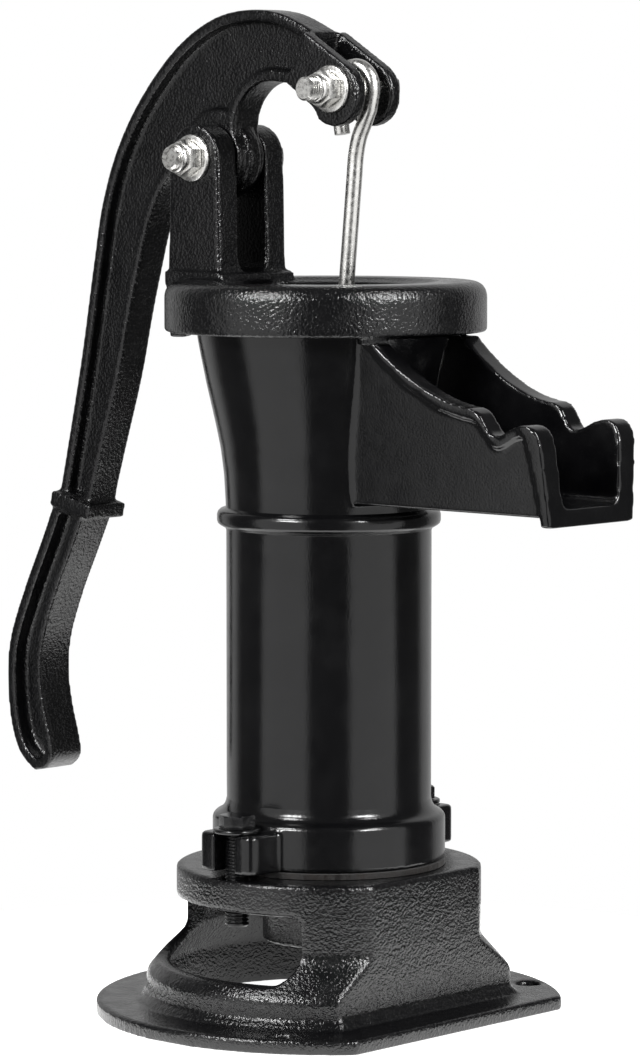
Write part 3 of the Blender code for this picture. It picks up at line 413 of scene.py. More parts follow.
def spout_parts():
    """The spout's block, the rolled rim along its top edge, and the lip that stands proud."""
    sweep = [(52, 361), (60, 352), (69.5, 343), (79.5, 335.2), (94, 326.2), (109.5, 319.6), (121, 316.8)]
    step = [(126, 316.2), (130.5, 314), (133.6, 309.8), (137, 305), (141.5, 303.4), (147, 305.2)]
    nose = [(152.5, 308), (159, 309.4), (164.6, 308), (168, 304)]
    rim = soft(sweep) + soft(step) + soft(nose)
    lip_top = (169.4, 299)
    side = [(20, 361), *rim, lip_top, (171.8, SPOUT_LOW), (20, SPOUT_LOW)]
    wall = keep_common(
        spout_section("wall", 0, SPOUT_LOW), drawn("side", placed(side), -90 * MM, 90 * MM)
    )
    edge = [point for point in rim if point[0] < 161]
    ribbon = edge + [(x, z - 5.6) for x, z in reversed(edge)]
    band = keep_common(
        spout_section("band", 1.7, SPOUT_LOW), drawn("ribbon", placed(ribbon), -90 * MM, 90 * MM)
    )
    lip_side = [*soft(nose)[3:], lip_top, (172, 260), (166.4, 260), (163.4, 283), (160, 300)]
    lip = keep_common(
        spout_section("lip", 2.5, 260.2, dip=2.2), drawn("lip_side", placed(lip_side), -90 * MM, 90 * MM)
    )
    return wall, band, lip


def spout_channel():
    """The trough, with round lower corners, running through the barrel's wall."""
    section = rounded([(-30.5, 366, 0), (-21, 268.5, 7), (21, 268.5, 7), (30.5, 366, 0)])
    section = [(y * MM, z * MM) for y, z in section]
    channel = drawn("channel", section, AXIS, AXIS + 200 * MM, axis="X")
    low, high = (AXIS - 10 * MM, -90 * MM, 347 * MM), (AXIS + 70 * MM, 90 * MM, 380 * MM)
    carve(channel, block("under_rim", low, high))
    return channel


# %% The flare with the spout on it
def flare_shape():
    """The flare, hollow, with the spout fused on and its trough cut through."""
    rings = [(52.4, 252), (52.6, 262), (53.4, 276), (55, 289), (57.2, 300), (59.9, 312), (62.2, 322)]
    rings += [(65, 336), (66.5, 344), (68, 354), (69, 361.7), (0.1, 361.7)]
    rings = [(0.1, 252), *rings]
    shape = turned("barrel_flare", [(r * MM, z * MM) for r, z in rings], sides=160)
    fuse(shape, *spout_parts())
    inside = [(0.1, 240), (45, 240), (45, 262), (50.5, 302), (61.5, 347.7), (61.5, 380), (0.1, 380)]
    carve(shape, turned("inside", [(r * MM, z * MM) for r, z in inside], sides=160))
    carve(shape, block("above", (AXIS - 90 * MM, -90 * MM, 361.7 * MM), (AXIS + 190 * MM, 90 * MM, 400 * MM)))
    # the walls stop just under the cap's skirt
    skirt = [(69.3, 346.9), (95, 346.9), (95, 380), (69.3, 380)]
    carve(shape, turned("skirt_room", [(r * MM, z * MM) for r, z in skirt], ring_shaped=True))
    carve(shape, spout_channel())
    return shape


barrel_flare = flare_shape()
cast_skin(barrel_flare, 1.04, 3)


def by_the_spout_root(point):
    """1 along the corner between the spout's wall and the flare, fading to 0 some 12 mm away."""
    x, y = (point.x - AXIS) / MM, abs(point.y) / MM
    outside = spout_half_width(point.z / MM)
    corner = math.hypot(max(0, x - math.sqrt(max(0, 59**2 - y**2))) * 0.9, y - outside)
    return max(0.0, min(1.0, (8 - corner) / 5)) if 266 < point.z / MM < 343 and y > outside - 3 else 0.0


def inside_the_barrel(centre):
    """The bore's wall, and the inner faces of the trough."""
    x, y, z = (centre.x - AXIS) / MM, centre.y / MM, centre.z / MM
    bore = math.hypot(x, y) < 46 + max(0, z - 262) * 0.178 and x < 38 and z < 358
    return bore or (50 < x < 157 and abs(y) < 27 and 267 < z < 303)


thin_out(barrel_flare, inside_the_barrel, 0.08)
round_off_near(barrel_flare, by_the_spout_root, 30)
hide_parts("barrel")
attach(barrel_flare, "pump")
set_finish(barrel_flare, "gloss_enamel")


# %% The straight body with its bead
def barrel_body():
    """The straight wall, with its bead, as one ring of bore and outside."""
    outside = [(52, 84), (52.2, 104), (52.3, 120), (52.3, 247.4)]
    outside += [(52.8, 248.8), (54.4, 249.7), (55.6, 250.4), (56.6, 251.3), (57, 252.6)]
    outside += [(57, 255.6), (56.5, 257.1), (55.3, 258.2), (53, 258.8), (50.2, 262)]
    inside = [(47.4, 262), (44.6, 256), (44.5, 250), (44.5, 84)]
    rings = [(r * MM, z * MM) for r, z in outside + inside]
    body = turned("barrel_body", rings, sides=192, ring_shaped=True)
    smooth_shading(body, 40)
    return body


barrel_middle = barrel_body()


# %% The bolted flange
def flange_lug(side):
    """One lug: a tongue with round corners, open outwards for the bolt."""
    near, far = 44, 78
    corners = [(18.5, near, 0), (18.5, far, 6), (-18.5, far, 6), (-18.5, near, 0)]
    outline = [(AXIS + x * MM, side * y * MM) for x, y in rounded(corners)]
    return drawn("lug", outline, 79.9 * MM, 99.5 * MM, axis="Z")


def flange_shape():
    """The flange with both lugs, its fillet, the bore and the bolts' slots."""
    rings = [(0.1, 79.9), (59.5, 79.9), (59.5, 101), (58.6, 102.8), (55, 104.4), (53, 107), (52.2, 111)]
    rings += [(51, 114), (0.1, 114)]
    shape = turned("barrel_flange", [(r * MM, z * MM) for r, z in rings], sides=160)
    fuse(shape, flange_lug(1), flange_lug(-1))
    bore = [(45.2, 60), (45.2, 130)]
    carve(shape, turned("bore", [(r * MM, z * MM) for r, z in bore], sides=160))
    for side in (-1, 1):
        slot = [(-7, 60.5), (7, 60.5), (7, 95), (-7, 95)]
        slot = [(AXIS + x * MM, side * y * MM) for x, y in slot]
        carve(shape, drawn("slot", slot, 60 * MM, 130 * MM, axis="Z"))
    return shape


barrel_foot = flange_shape()
cast_skin(barrel_foot, 1.2, 4)
for piece in (barrel_middle, barrel_foot):
    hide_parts("barrel")
    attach(piece, "pump")
    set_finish(piece, "gloss_enamel")

# %% [markdown]
# ## The cap
#
# The cap turns on the barrel's rim and carries the lever between two ears. A pitcher pump's cap is a shallow
# dish with a thick rounded rim and a hole in the middle for the rod; its ears stand on a low plinth.

# %% The cap
CAP_PROFILE = [
    (57, 374), (74.9, 374), (77.2, 373.5), (79.6, 372), (81.2, 369.6), (81.9, 367), (81.9, 349.6),
    (80.8, 348.5), (73, 348.5), (73, 362), (48, 362), (48, 369.5), (49.5, 371.5), (54, 372.6),
]
ACROSS, UP = (FULCRUM.x - AXIS) / MM, FULCRUM.z / MM


def cap_lug(degrees):
    """A small claw under the skirt that hooks below the barrel's rim."""
    lug = block("cap_lug", (71.5 * MM, -7 * MM, 344.8 * MM), (79.9 * MM, 7 * MM, 354 * MM))
    pick(lug)
    bpy.ops.transform.rotate(value=-math.radians(degrees), orient_axis="Z", center_override=(0, 0, 0))
    bpy.ops.transform.translate(value=(CAP_CENTRE, 0, 0))
    settle(lug)
    return lug


def cap_shape():
    """The cap's ring with its plinth, ears and claws, cut for the lever, the bolt and the screw."""
    rings = [(r * MM, z * MM) for r, z in CAP_PROFILE]
    shape = turned("cap_casting", rings, sides=160, x=CAP_CENTRE, ring_shaped=True)
    plinth = [(-17, 368), (12, 368), (22, 372), (22, 376), (19, 377.6), (-18.6, 377.6), (-18.6, 372)]
    plinth = [(ACROSS + x, z) for x, z in plinth]
    plinth = drawn("plinth", placed(plinth), -27.7 * MM, 27.7 * MM)
    carve(plinth, turned("bore", [(73 * MM, 300 * MM), (73 * MM, 362 * MM)], sides=160, x=CAP_CENTRE))
    ears = [(ACROSS - 18.6, 371), (ACROSS + 18.6, 371), *arc((ACROSS, UP), 17, -4, 184, 36)]
    fuse(shape, plinth, drawn("ears", placed(ears), -25.2 * MM, 25.2 * MM))
    fuse(shape, *[cap_lug(degrees) for degrees in (-30, 90, 210)])
    gap = rounded([(-10.6, 377.6, 7), (10.6, 377.6, 7), (10.6, 500, 0), (-10.6, 500, 0)])
    gap = drawn("gap", [(y * MM, z * MM) for y, z in gap], FULCRUM.x - 0.1, FULCRUM.x + 0.1, axis="X")
    pin = bar("pin", 6.5 * MM, (FULCRUM.x, -0.06, FULCRUM.z), (FULCRUM.x, 0.06, FULCRUM.z))
    screw = bar("screw", 4.4 * MM, (CAP_CENTRE, 0.06, 0.356), (CAP_CENTRE, 0.1, 0.356))
    carve(shape, gap, pin, screw)
    return shape


cap = cap_shape()
cast_skin(cap, 1.1, 4)
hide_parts("cap")
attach(cap, "pump")
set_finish(cap, "rough_casting")

# %% [markdown]
# ## The lever
#
# The lever is one casting from the rod's fork, over the fulcrum, to the curled grip. Its arm and its grip are
# lightened on both sides: a thin web inside a raised rim, with a full boss round the fulcrum. The outlines
# are drawn once, and the hollows use the same outlines moved in by the width of the rim.

# %% The lever's outlines
RIM = 6  # the width of the raised rim
WEB_HALF = 2.9  # half the thickness of the web inside it
ARM_HALF = 9.7  # half the arm's thickness
ARM_BACK = [
    (-4, 500.2), (-26, 509), (-50, 511), (-74, 506.3), (-99, 492.1), (-123.5, 467.8), (-141.5, 441),
    (-153, 412), (-160, 379), (-168.4, 334.5), (-176.2, 299), (-185.5, 259), (-186.5, 252),
]
ARM_FRONT = [
    (-162.6, 248), (-160.8, 259), (-153, 284), (-141.5, 320), (-134, 350.4), (-127.8, 373), (-119.5, 400),
    (-110.2, 418.7), (-101, 428), (-88, 433),
]
GRIP_BACK = [
    (-188, 252), (-192.3, 243.7), (-198.5, 230.4), (-211.8, 203.6), (-222.4, 178), (-225.4, 157),
    (-223.2, 132), (-216.5, 114.5), (-205, 105.2),
]
GRIP_FRONT = [
    (-197, 106.8), (-191.3, 113), (-192, 122), (-197.6, 142), (-200, 160), (-197.4, 179), (-188, 203),
    (-176.4, 226), (-166.4, 247), (-165, 252),
]
GOOSENECK = arc((-33, 450.5), 24.3, 196, 80, 20)
ARM = [*soft(ARM_BACK), *soft(ARM_FRONT), (-60, 430), *GOOSENECK, (-14.3, 473.2), (-4, 472)]
GRIP = soft(GRIP_BACK) + soft(GRIP_FRONT)
HEAD = [(-3.2, 499.8), (-8.2, 487), (-11.5, 480.2), (-15.3, 474.2), (4.2, 461.1)]
HEAD += arc((17.6, 468.3), 16.3, 232, 420, 40)


def distance_to_side(point, outline):
    """How far a point is from the nearest side of an outline."""
    nearest = 1e9
    for start, end in zip(outline, outline[1:] + outline[:1]):
        start, end = Vector(start), Vector(end)
        along = end - start
        share = (point - start).dot(along) / max(along.length_squared, 1e-9)
        nearest = min(nearest, (point - start - along * max(0, min(1, share))).length)
    return nearest


def moved_in(outline, distance):
    """The outline moved in by a distance, without points that would come too near another side."""
    inner = []
    for i, point in enumerate(outline):
        before = (Vector(point) - Vector(outline[i - 1])).normalized()
        after = (Vector(outline[(i + 1) % len(outline)]) - Vector(point)).normalized()
        square = Vector((-after.y, after.x))
        inward = (Vector((-before.y, before.x)) + square).normalized()
        there = Vector(point) + inward * distance / max(0.4, inward.dot(square))
        if distance_to_side(there, outline) > 0.99 * distance:
            inner.append(tuple(there))
    return inner


print("arm", len(ARM), "points, moved in", len(moved_in(ARM, RIM)))


# %% The lever's casting
def hollow_sides(outline):
    """The two hollows inside the rim, kept clear of the boss."""
    inner = placed(moved_in(outline, RIM))
    hollows = []
    for side in (-1, 1):
        hollow = drawn("hollow", inner, side * WEB_HALF * MM, side * 40 * MM)
        carve(hollow, bar("keep", 25 * MM, (FULCRUM.x, -0.06, FULCRUM.z), (FULCRUM.x, 0.06, FULCRUM.z), 96))
        hollows.append(hollow)
    return hollows


def lever_collar():
    """The little cross bar between the arm and the grip."""
    low, high = (-15 * MM, -13.6 * MM, -4 * MM), (15 * MM, 13.6 * MM, 4 * MM)
    collar = block("collar", low, high)
    pick(collar)
    bpy.ops.transform.rotate(value=-math.radians(13), orient_axis="Y", center_override=(0, 0, 0))
    bpy.ops.transform.translate(value=(AXIS - 174.3 * MM, 0, 250.6 * MM))
    settle(collar)
    return collar


def lever_shape():
    """Arm, grip, boss, collar and forked head, with the hollows, the slot and both pin holes cut."""
    shape = drawn("lever_casting", placed(ARM), -ARM_HALF * MM, ARM_HALF * MM)
    grip = drawn("grip", placed(GRIP), -11.3 * MM, 11.3 * MM)
    carve(grip, *hollow_sides(GRIP))
    half = Vector((0, ARM_HALF * MM, 0))
    fuse(shape, bar("boss", 18 * MM, FULCRUM - half, FULCRUM + half, 80))
    rib = Vector((0, 4 * MM, 0))
    fuse(shape, bar("rib", 21 * MM, FULCRUM - rib, FULCRUM + rib, 80))
    carve(shape, *hollow_sides(ARM))
    fuse(shape, grip, lever_collar(), drawn("head", placed(HEAD), -16.6 * MM, 16.6 * MM))
    slot = [(1, 520), (-2, 498), (-8, 470), (-6, 440), (60, 440), (60, 520)]
    carve(shape, drawn("slot", placed(slot), -9.5 * MM, 9.5 * MM))
    far = Vector((0, 60 * MM, 0))
    carve(shape, *[bar("hole", 6.5 * MM, pin - far, pin + far) for pin in (FULCRUM, FRONT)])
    return shape


lever = lever_shape()
cast_skin(lever, 1.1, 5)
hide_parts("lever")
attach(lever, "lever")
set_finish(lever, "rough_casting")

# %% [markdown]
# ## Bolts, nuts and washers
#
# The fasteners are plain metric M12. A hexagon head gets its look from the chamfer that the forging
# leaves: the corners are turned off at thirty degrees, so each flat ends in a curve. The chamfer is the
# hexagon cut by a cone. The thread is modelled where it shows, as turned grooves 1.75 mm apart.

# %% Hexagons, collars and threads
PITCH = 1.75  # of M12 thread
THREAD_R, ROOT_R = 5.95, 5.05
CORNER_R = 9.4  # from a hexagon's middle to its corners
WASHER_R, WASHER_T = 12.0, 2.0


def turned_along(name, rings, seat, direction, sides=64, ring_shaped=False):
    """A turned piece whose heights run from a seat along a direction; sizes in millimetres."""
    rings = [(r * MM, z * MM) for r, z in rings]
    piece = turned(name, rings, sides, x=0, ring_shaped=ring_shaped)
    place = Vector(direction).to_track_quat("Z", "Y").to_matrix().to_4x4()
    place.translation = seat
    piece.data.transform(place)
    return piece


def chamfered_hexagon(name, seat, direction, thickness, hole=0.0):
    """A hexagon of a nut or a bolt head, its outer corners turned off at thirty degrees."""
    shape = turned_along(name, [(CORNER_R, 0), (CORNER_R, thickness)], seat, direction, sides=6)
    top = CORNER_R * 0.87
    reach = CORNER_R + 0.1
    drop = (reach - top) * math.tan(math.radians(30))
    cone = [(0.1, -1), (reach, -1), (reach, thickness - drop), (top, thickness), (0.1, thickness)]
    keep_common(shape, turned_along("cone", cone, seat, direction, sides=96))
    if hole:
        carve(shape, turned_along("hole", [(hole, -2), (hole, thickness + 2)], seat, direction))
    apply_modifier(shape, "BEVEL", width=0.2 * MM, segments=2, limit_method="ANGLE", angle_limit=0.5)
    smooth_shading(shape, 35)
    return shape


def threaded_shank(name, seat, direction, end, thread_from):
    """A plain shank, begun inside its head, that ends in thread with a chamfered tip."""
    rings = [(0.1, -1), (THREAD_R, -1), (THREAD_R, thread_from)]
    z = thread_from
    while z + PITCH < end - 1:
        rings += [(THREAD_R, z + 0.25), (ROOT_R, z + 0.95), (ROOT_R, z + 1.1), (THREAD_R, z + PITCH)]
        z += PITCH
    rings += [(THREAD_R, end - 1), (5.0, end), (0.1, end)]
    shank = turned_along(name, rings, seat, direction, sides=48)
    smooth_shading(shank, 30)
    return shank


def washer(name, seat, direction):
    """A punched washer: rounded on the die side, sharp on the other."""
    rings = [(6.4, 0), (WASHER_R - 0.15, 0), (WASHER_R, 0.2), (WASHER_R, WASHER_T - 0.7)]
    rings += [(WASHER_R - 0.2, WASHER_T - 0.25), (WASHER_R - 0.7, WASHER_T)]
    rings += [(6.9, WASHER_T), (6.4, WASHER_T - 0.4)]
    piece = turned_along(name, rings, seat, direction, sides=96, ring_shaped=True)
    smooth_shading(piece, 40)
    return piece


def weld_together(name, *pieces):
    """Joins meshes that touch or pass through each other into one object."""
    let_go()
    for piece in pieces:
        piece.select_set(True)
    bpy.context.view_layer.objects.active = pieces[0]
    bpy.ops.object.join()
    pieces[0].name = name
    return pieces[0]


def stands_for(piece, node, body, slot):
    """Shows a piece in place of a node of the frame, on the body that carries it."""
    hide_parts(node)
    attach(piece, body)
    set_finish(piece, slot)


# %% The two cross bolts
def cross_bolt(name, centre, half_y, body, tail):
    """Head and washer on the far side, washer and lock nut on the near side, and a tail of thread."""
    near, far = Vector((0, -1, 0)), Vector((0, 1, 0))
    spots = {}
    for hand, way in (("near", near), ("far", far)):
        seat = centre + way * (half_y + 0.3) * MM
        spots[hand] = seat + way * 2.3 * MM
        piece = washer(f"{name}_washer_{hand}_look", seat, way)
        stands_for(piece, f"{name}_washer_{hand}", body, "zinc_plate")
    head = chamfered_hexagon(f"{name}_head", spots["far"], far, 6.4)
    end = (spots["far"] - spots["near"]).length / MM + 11.6 + tail
    shank = threaded_shank(f"{name}_shank", spots["far"], near, end, end - 24)
    bolt = weld_together(f"{name}_bolt_look", head, shank)
    stands_for(bolt, f"{name}_bolt", body, "zinc_plate")
    nut = chamfered_hexagon(f"{name}_nut", spots["near"], near, 8, hole=6.05)
    collar = [(6.05, 7.6), (7.6, 7.6), (7.6, 9.6), (7.4, 10.6), (7.0, 11.3), (6.4, 11.6), (6.05, 11.4)]
    collar = turned_along("collar", collar, spots["near"], near, ring_shaped=True)
    smooth_shading(collar, 40)
    nut = weld_together(f"{name}_lock_nut_look", nut, collar)
    stands_for(nut, f"{name}_lock_nut", body, "zinc_plate")
    print(name, "bolt ends at y", round((spots["far"].y / MM) - end, 1))


cross_bolt("fulcrum", FULCRUM, 25.2, "pump", 3.5)
cross_bolt("front", FRONT, 16.6, "lever", 7.0)


# %% The two flange bolts
def flange_bolt(hand, y):
    """A bolt and its washer, head up, through one lug of the barrel's flange."""
    up = Vector((0, 0, 1))
    seat = Vector((AXIS, y * MM, 99.8 * MM))
    stands_for(washer(f"flange_washer_{hand}_look", seat, up), f"flange_washer_{hand}", "pump", "black_steel")
    seat = seat + up * 2.3 * MM
    head = chamfered_hexagon("head", seat, up, 6.4)
    shank = threaded_shank("shank", seat, -up, 50, 1)
    bolt = weld_together(f"flange_bolt_{hand}_look", head, shank)
    stands_for(bolt, f"flange_bolt_{hand}", "pump", "black_steel")


flange_bolt("near", -FLANGE_BOLT_Y)
flange_bolt("far", FLANGE_BOLT_Y)


# %% The cap's square-headed set screw
def square_screw():
    """Head and shank, pointing in at the barrel's rim."""
    out = Vector((0, 1, 0))
    seat = Vector((CAP_CENTRE, 82.5 * MM, 356 * MM))
    head = turned_along("head", [(5.6, 0), (5.6, 5.4), (5.0, 6)], seat, out, sides=4)
    apply_modifier(head, "BEVEL", width=0.3 * MM, segments=2, limit_method="ANGLE", angle_limit=0.5)
    shank = turned_along("shank", [(0.1, -12.9), (3.2, -12.9), (4, -12), (4, 0.5)], seat, out, sides=32)
    for piece in (head, shank):
        smooth_shading(piece, 40)
    return weld_together("cap_set_screw_look", head, shank)


stands_for(square_screw(), "cap_set_screw", "pump", "zinc_plate")

# %% [markdown]
# ## The rod
#
# The rod is an 8 mm bar, bent cold into an open hook over the front bolt. It is swept along its path as a
# round section, and its end is cut square, as a shear leaves it.

# %% The bent rod with its eye
HOOK = [(9.2, 448), (8.3, 453), (7.2, 460)]
HOOK += arc((18, 470.6), 11.4, 180, -12, 40)
HOOK += soft([(27.4, 460.5), (24.0, 453.6), (20.4, 446.0), (18.3, 437.1), (17.3, 427)], 8)
HOOK += [(1.2, 262), (0, 254)]


def bent_rod():
    """The bar, swept along its path and made a mesh."""
    let_go()
    bpy.ops.curve.primitive_nurbs_path_add(location=(0, 0, 0))
    rod = bpy.context.object
    rod.name = "piston_rod_look"
    curve = rod.data
    curve.splines.remove(curve.splines[0])
    spline = curve.splines.new("POLY")
    spline.points.add(len(HOOK) - 1)
    for point, (x, z) in zip(spline.points, placed(HOOK)):
        point.co = (x, 0, z, 1)
    curve.bevel_depth = 4 * MM
    curve.bevel_resolution = 10
    curve.use_fill_caps = True
    curve.twist_mode = "MINIMUM"
    pick(rod)
    bpy.ops.object.convert(target="MESH")
    close_up(rod)
    apply_modifier(rod, "BEVEL", width=0.5 * MM, segments=2, limit_method="ANGLE", angle_limit=1.0)
    return rod


def stadium(grow):
    """The eye's outline: two half circles joined by straight sides."""
    right = arc((-5.3 + 4.2, 250.6), 4.5 + grow, -90, 90, 20)
    left = arc((-5.3 - 4.2, 250.6), 4.5 + grow, 90, 270, 20)
    return placed(right + left)


rod = bent_rod()
fuse(rod, drawn("eye", stadium(3.4), -3.5 * MM, 3.5 * MM))
carve(rod, drawn("eye_slot", stadium(0), -20 * MM, 20 * MM))
smooth_shading(rod, 35)
stands_for(rod, "piston_rod", "rod", "zinc_plate")
print("rod", len(rod.data.polygons), "faces")

# %% [markdown]
# ## Finishes
#
# Colours are written as they look on a screen, and one function turns them into the linear values that a
# renderer needs. Patterns use each object's own coordinates, and because every piece sits unscaled at the
# origin, a pattern's size can be given in millimetres.

# %% Colours and nodes
def colour(hex_code):
    """An on-screen colour such as "1a1a1a" as linear red, green, blue and alpha."""
    parts = [int(hex_code[i : i + 2], 16) / 255 for i in (0, 2, 4)]
    return (*[c / 12.92 if c <= 0.04045 else ((c + 0.055) / 1.055) ** 2.4 for c in parts], 1)


def add_node(tree, kind, inputs=None, stops=(), **settings):
    """Adds one node. An input is a plain value or another node's socket; stops colour a ramp."""
    made = tree.nodes.new("ShaderNode" + kind)
    for setting, value in settings.items():
        setattr(made, setting, value)
    for socket, value in (inputs or {}).items():
        if isinstance(value, bpy.types.NodeSocket):
            tree.links.new(value, made.inputs[socket])
        else:
            made.inputs[socket].default_value = value
    while stops and len(made.color_ramp.elements) < len(stops):
        made.color_ramp.elements.new(0.5)
    for element, (position, code) in zip(made.color_ramp.elements if stops else (), stops):
        element.position = position
        element.color = colour(code)
    return made


def new_finish(name):
    """An empty material with nodes."""
    finish = bpy.data.materials.new(name)
    finish.use_nodes = True
    finish.node_tree.nodes.clear()
    return finish


def clouds_and_shine(tree, place, stops, cloud_size, shine_size, roughness):
    """What every finish starts with: a colour that drifts, and a roughness that drifts."""
    size = {"Vector": place, "Scale": 1000 / cloud_size, "Detail": 3.0, "Roughness": 0.55}
    clouds = add_node(tree, "TexNoise", size)
    body = add_node(tree, "ValToRGB", {"Fac": clouds.outputs["Fac"]}, stops)
    size = {"Vector": place, "Scale": 1000 / shine_size, "Detail": 3.0, "Roughness": 0.6}
    drift = add_node(tree, "TexNoise", size).outputs["Fac"]
    spread = {"Value": drift, "From Min": 0.35, "From Max": 0.65}
    spread |= {"To Min": roughness * 0.75, "To Max": roughness * 1.4}
    return body.outputs["Color"], add_node(tree, "MapRange", spread).outputs["Result"]


def reliefs(tree, place, layers):
    """Noise reliefs on top of each other; each layer is (size, depth, stretch), in millimetres."""
    surface = None
    for size, depth, stretch in layers:
        way = add_node(tree, "Mapping", {"Vector": place, "Scale": stretch}).outputs["Vector"]
        lumps = {"Vector": way, "Scale": 1000 / size, "Detail": 2.0, "Roughness": 0.5}
        height = add_node(tree, "TexNoise", lumps).outputs["Fac"]
        inputs = {"Height": height, "Distance": depth * MM, "Strength": 1.0}
        inputs |= {"Normal": surface} if surface else {}
        surface = add_node(tree, "Bump", inputs).outputs["Normal"]
    return surface


EVEN = (1, 1, 1)

# %% [markdown]
# The enamel lies thick over the raw casting. It is black and wet-looking, and what the eye reads as
# cast iron is the way it follows the sand's grain: the reflections break up into small lumps. So it needs one
# relief for the pebbles and one for the slow waves of the mould. On edges and high spots the coat is a
# little thinner and greyer, and specks of dust are caught in it.

# %% Black enamel over rough casting, over the smooth barrel, and over bolts
def black_enamel(name, pebble, depth, wave, wave_depth, roughness):
    finish = new_finish(name)
    tree = finish.node_tree
    place = add_node(tree, "TexCoord").outputs["Object"]
    blacks = [(0.32, "050506"), (0.6, "09090a"), (0.72, "0d0d0e")]
    body, shine = clouds_and_shine(tree, place, blacks, 24, 11, roughness)
    edge = add_node(tree, "NewGeometry").outputs["Pointiness"]
    thin = add_node(tree, "MapRange", {"Value": edge, "From Min": 0.54, "From Max": 0.64})
    worn = {0: thin.outputs["Result"], 6: body, 7: colour("1a1a1b")}
    worn = add_node(tree, "Mix", worn, data_type="RGBA").outputs[2]
    grains = add_node(tree, "TexNoise", {"Vector": place, "Scale": 1000 / 0.4, "Detail": 1.0})
    dust = {"Value": grains.outputs["Fac"], "From Min": 0.7, "From Max": 0.78, "To Max": 0.6}
    dust = add_node(tree, "MapRange", dust).outputs["Result"]
    dusty = add_node(tree, "Mix", {0: dust, 6: worn, 7: colour("2c2c2b")}, data_type="RGBA")
    layers = [(wave, wave_depth, EVEN), (pebble, depth, EVEN), (0.4, 0.01, EVEN)]
    inputs = {"Base Color": dusty.outputs[2], "Roughness": shine, "Normal": reliefs(tree, place, layers)}
    shader = add_node(tree, "BsdfPrincipled", inputs)
    add_node(tree, "OutputMaterial", {"Surface": shader.outputs["BSDF"]})
    return finish


cast_enamel = black_enamel("black_enamel_on_casting", 1.5, 0.46, 10, 0.35, 0.17)
barrel_enamel = black_enamel("black_enamel_on_barrel", 1.05, 0.055, 22, 0.1, 0.14)
painted_steel = black_enamel("black_enamel_on_bolts", 1.2, 0.03, 9, 0.05, 0.2)

# %% [markdown]
# The bolts through the lever are zinc plated: a bright, slightly uneven grey metal with a satin drift in its
# shine, and hairline marks from the spanner. The valve's small parts are machined brass, which is yellow and
# carries the same fine lines from the lathe.

# %% Zinc plate and machined brass
def bright_metal(name, stops, roughness, line_depth):
    finish = new_finish(name)
    tree = finish.node_tree
    place = add_node(tree, "TexCoord").outputs["Object"]
    body, shine = clouds_and_shine(tree, place, stops, 6, 2, roughness)
    layers = [(0.5, 0.012, EVEN), (1.4, line_depth, (1, 12, 12))]
    inputs = {"Base Color": body, "Roughness": shine, "Metallic": 1.0, "Normal": reliefs(tree, place, layers)}
    shader = add_node(tree, "BsdfPrincipled", inputs)
    add_node(tree, "OutputMaterial", {"Surface": shader.outputs["BSDF"]})
    return finish


zinc = bright_metal("bright_zinc_plate", [(0.3, "d2d1ce"), (0.5, "e4e3e0"), (0.7, "f0efec")], 0.27, 0.008)
brass = bright_metal("machined_brass", [(0.3, "8f6a32"), (0.5, "a98143"), (0.7, "ba9455")], 0.24, 0.006)

# %% [markdown]
# The flap, the cup and the gasket are harness leather, oiled so that it seals: brown, with a dull sheen and a
# grain of small cells. The gasket is given a nearly black leather instead, as dark as the seam line under the
# flange.

# %% Oiled leather
def oiled_leather(name, stops):
    finish = new_finish(name)
    tree = finish.node_tree
    place = add_node(tree, "TexCoord").outputs["Object"]
    body, shine = clouds_and_shine(tree, place, stops, 9, 4, 0.5)
    cells = add_node(tree, "TexVoronoi", {"Vector": place, "Scale": 1000 / 1.1}).outputs["Distance"]
    grain = {"Height": cells, "Distance": 0.12 * MM, "Normal": reliefs(tree, place, [(5, 0.2, EVEN)])}
    grain = add_node(tree, "Bump", grain).outputs["Normal"]
    inputs = {"Base Color": body, "Roughness": shine, "Normal": grain, "Sheen Weight": 0.15}
    shader = add_node(tree, "BsdfPrincipled", inputs)
    add_node(tree, "OutputMaterial", {"Surface": shader.outputs["BSDF"]})
    return finish


leather = oiled_leather("oiled_leather", [(0.3, "3a2112"), (0.5, "4f3019"), (0.7, "6a4425")])
# a nearly black leather for the gasket, as dark as the seam line under the flange
grimy_leather = oiled_leather("grimy_leather", [(0.3, "0a0807"), (0.5, "100c0a"), (0.7, "17110d")])

# %% Give every piece its finish
FINISHES = {
    "rough_casting": cast_enamel,
    "gloss_enamel": barrel_enamel,
    "zinc_plate": zinc,
    "black_steel": painted_steel,
    "brass": brass,
    "leather": leather,
}


def coat(piece, finish):
    """Gives a piece one finish and no other."""
    piece.data.materials.clear()
    piece.data.materials.append(finish)


cad_slots = {row["node"]: row["material_slot"] for row in frame["record"]["subparts"]}
for node, slot in cad_slots.items():
    coat(frame["nodes"][node], FINISHES[slot])
# the gasket gets the nearly black leather, as dark as the seam line under the flange
coat(frame["nodes"]["foot_valve_gasket"], grimy_leather)
for piece in bpy.data.objects:
    if piece.type == "MESH" and piece.get("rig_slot") and piece.name not in cad_slots:
        coat(piece, FINISHES[piece["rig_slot"]])

# %% [markdown]
# ## The studio
#
# Black gloss shows nothing but its surroundings, so the light is built from what the pump should mirror: two
# tall softboxes at the sides give the long soft bands down the barrel, the front stays dim so that the
# middle reads as black, and the bright backdrop behind draws the silhouette's edges.

# %% The camera
camera = bpy.data.objects.new("camera", bpy.data.cameras.new("camera"))
bpy.context.scene.collection.objects.link(camera)
camera.location = (1.60264, -1.73420, 0.45836)
camera.rotation_euler = (math.radians(90 - 5.17079), 0, math.radians(42.3587))
camera.data.lens = 156.42
camera.data.sensor_width = 36
bpy.context.scene.camera = camera

# %% The floor, the backdrop and the softboxes
let_go()
bpy.ops.mesh.primitive_circle_add(vertices=128, radius=0.32, fill_type="NGON", location=(0, 0, -0.0002))
floor = bpy.context.object
floor.name = "studio_floor"


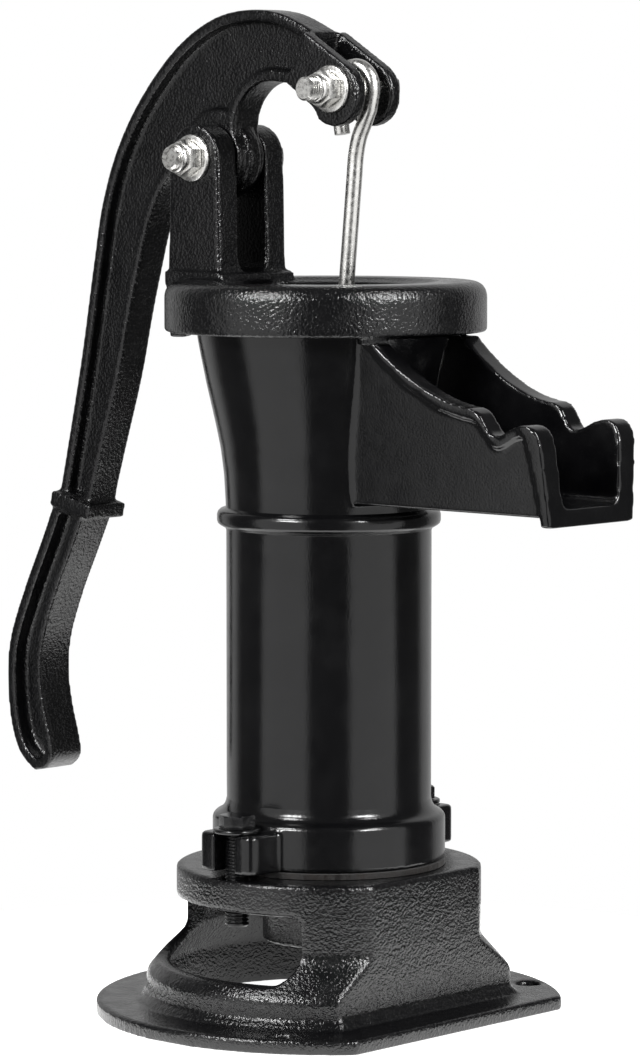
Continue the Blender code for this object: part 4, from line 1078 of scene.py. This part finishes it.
def pale_floor():
    """Matt white that glows a little, so that it melts into the backdrop."""
    finish = new_finish("pale_studio_floor")
    tree = finish.node_tree
    place = add_node(tree, "TexCoord").outputs["Object"]
    drift = add_node(tree, "TexNoise", {"Vector": place, "Scale": 1.2}).outputs["Fac"]
    whites = add_node(tree, "ValToRGB", {"Fac": drift}, [(0.3, "f4f4f3"), (0.7, "f7f7f6")]).outputs["Color"]
    inputs = {"Base Color": whites, "Roughness": 0.85, "Specular IOR Level": 0.1}
    inputs |= {"Emission Color": colour("ffffff"), "Emission Strength": 0.95}
    shader = add_node(tree, "BsdfPrincipled", inputs)
    add_node(tree, "OutputMaterial", {"Surface": shader.outputs["BSDF"]})
    return finish


coat(floor, pale_floor())

away = Vector((AXIS, 0, 0)) - camera.location
away.z = 0
away.normalize()
world = bpy.data.worlds.new("studio")
bpy.context.scene.world = world
world.use_nodes = True
sky = world.node_tree
sky.nodes.clear()
way = add_node(sky, "TexCoord").outputs["Generated"]
facing = add_node(sky, "VectorMath", {0: way, 1: away}, operation="DOT_PRODUCT").outputs["Value"]
behind = {"Value": facing, "From Min": 0.50, "From Max": 0.66, "To Min": 0.09, "To Max": 0.55}
behind = add_node(sky, "MapRange", behind).outputs["Result"]
seen = add_node(sky, "LightPath").outputs["Is Camera Ray"]
strength = add_node(sky, "Mix", {"Factor": seen, "A": behind, "B": 1.0}, data_type="FLOAT")
backdrop = add_node(sky, "Background", {"Color": colour("ffffff"), "Strength": strength.outputs["Result"]})
add_node(sky, "OutputWorld", {"Surface": backdrop.outputs["Background"]})
bpy.context.scene.view_settings.view_transform = "Standard"


def softbox(name, degrees, distance, width, height, radiance, lift):
    """A tall softbox, so many degrees round from the camera, turned to face the pump."""
    towards = Vector((-away.x, -away.y))
    turn = math.radians(degrees)
    x = towards.x * math.cos(turn) - towards.y * math.sin(turn)
    y = towards.x * math.sin(turn) + towards.y * math.cos(turn)
    light = bpy.data.lights.new(name, "AREA")
    light.shape = "RECTANGLE"
    light.size, light.size_y = width, height
    light.energy = radiance * math.pi * width * height
    lamp = bpy.data.objects.new(name, light)
    lamp.visible_camera = False
    bpy.context.scene.collection.objects.link(lamp)
    lamp.location = (AXIS + x * distance, y * distance, lift)
    tilt = 0 if lift < 1 else (lift - 0.25) / distance
    lamp.rotation_euler = Vector((x, y, tilt)).to_track_quat("Z", "Y").to_euler()
    return lamp


for side in (-1, 1):
    hand = "left" if side < 0 else "right"
    softbox(f"{hand}_wall", side * 52, 1.6, 1.75, 3.4, 0.9, 0.0)
    softbox(f"{hand}_lamp", side * 44, 1.5, 0.55, 0.3, 40, 1.02)
    softbox(f"{hand}_top_lamp", side * 56, 1.3, 0.5, 0.4, 26, 1.75)
print("camera", camera.location[:])
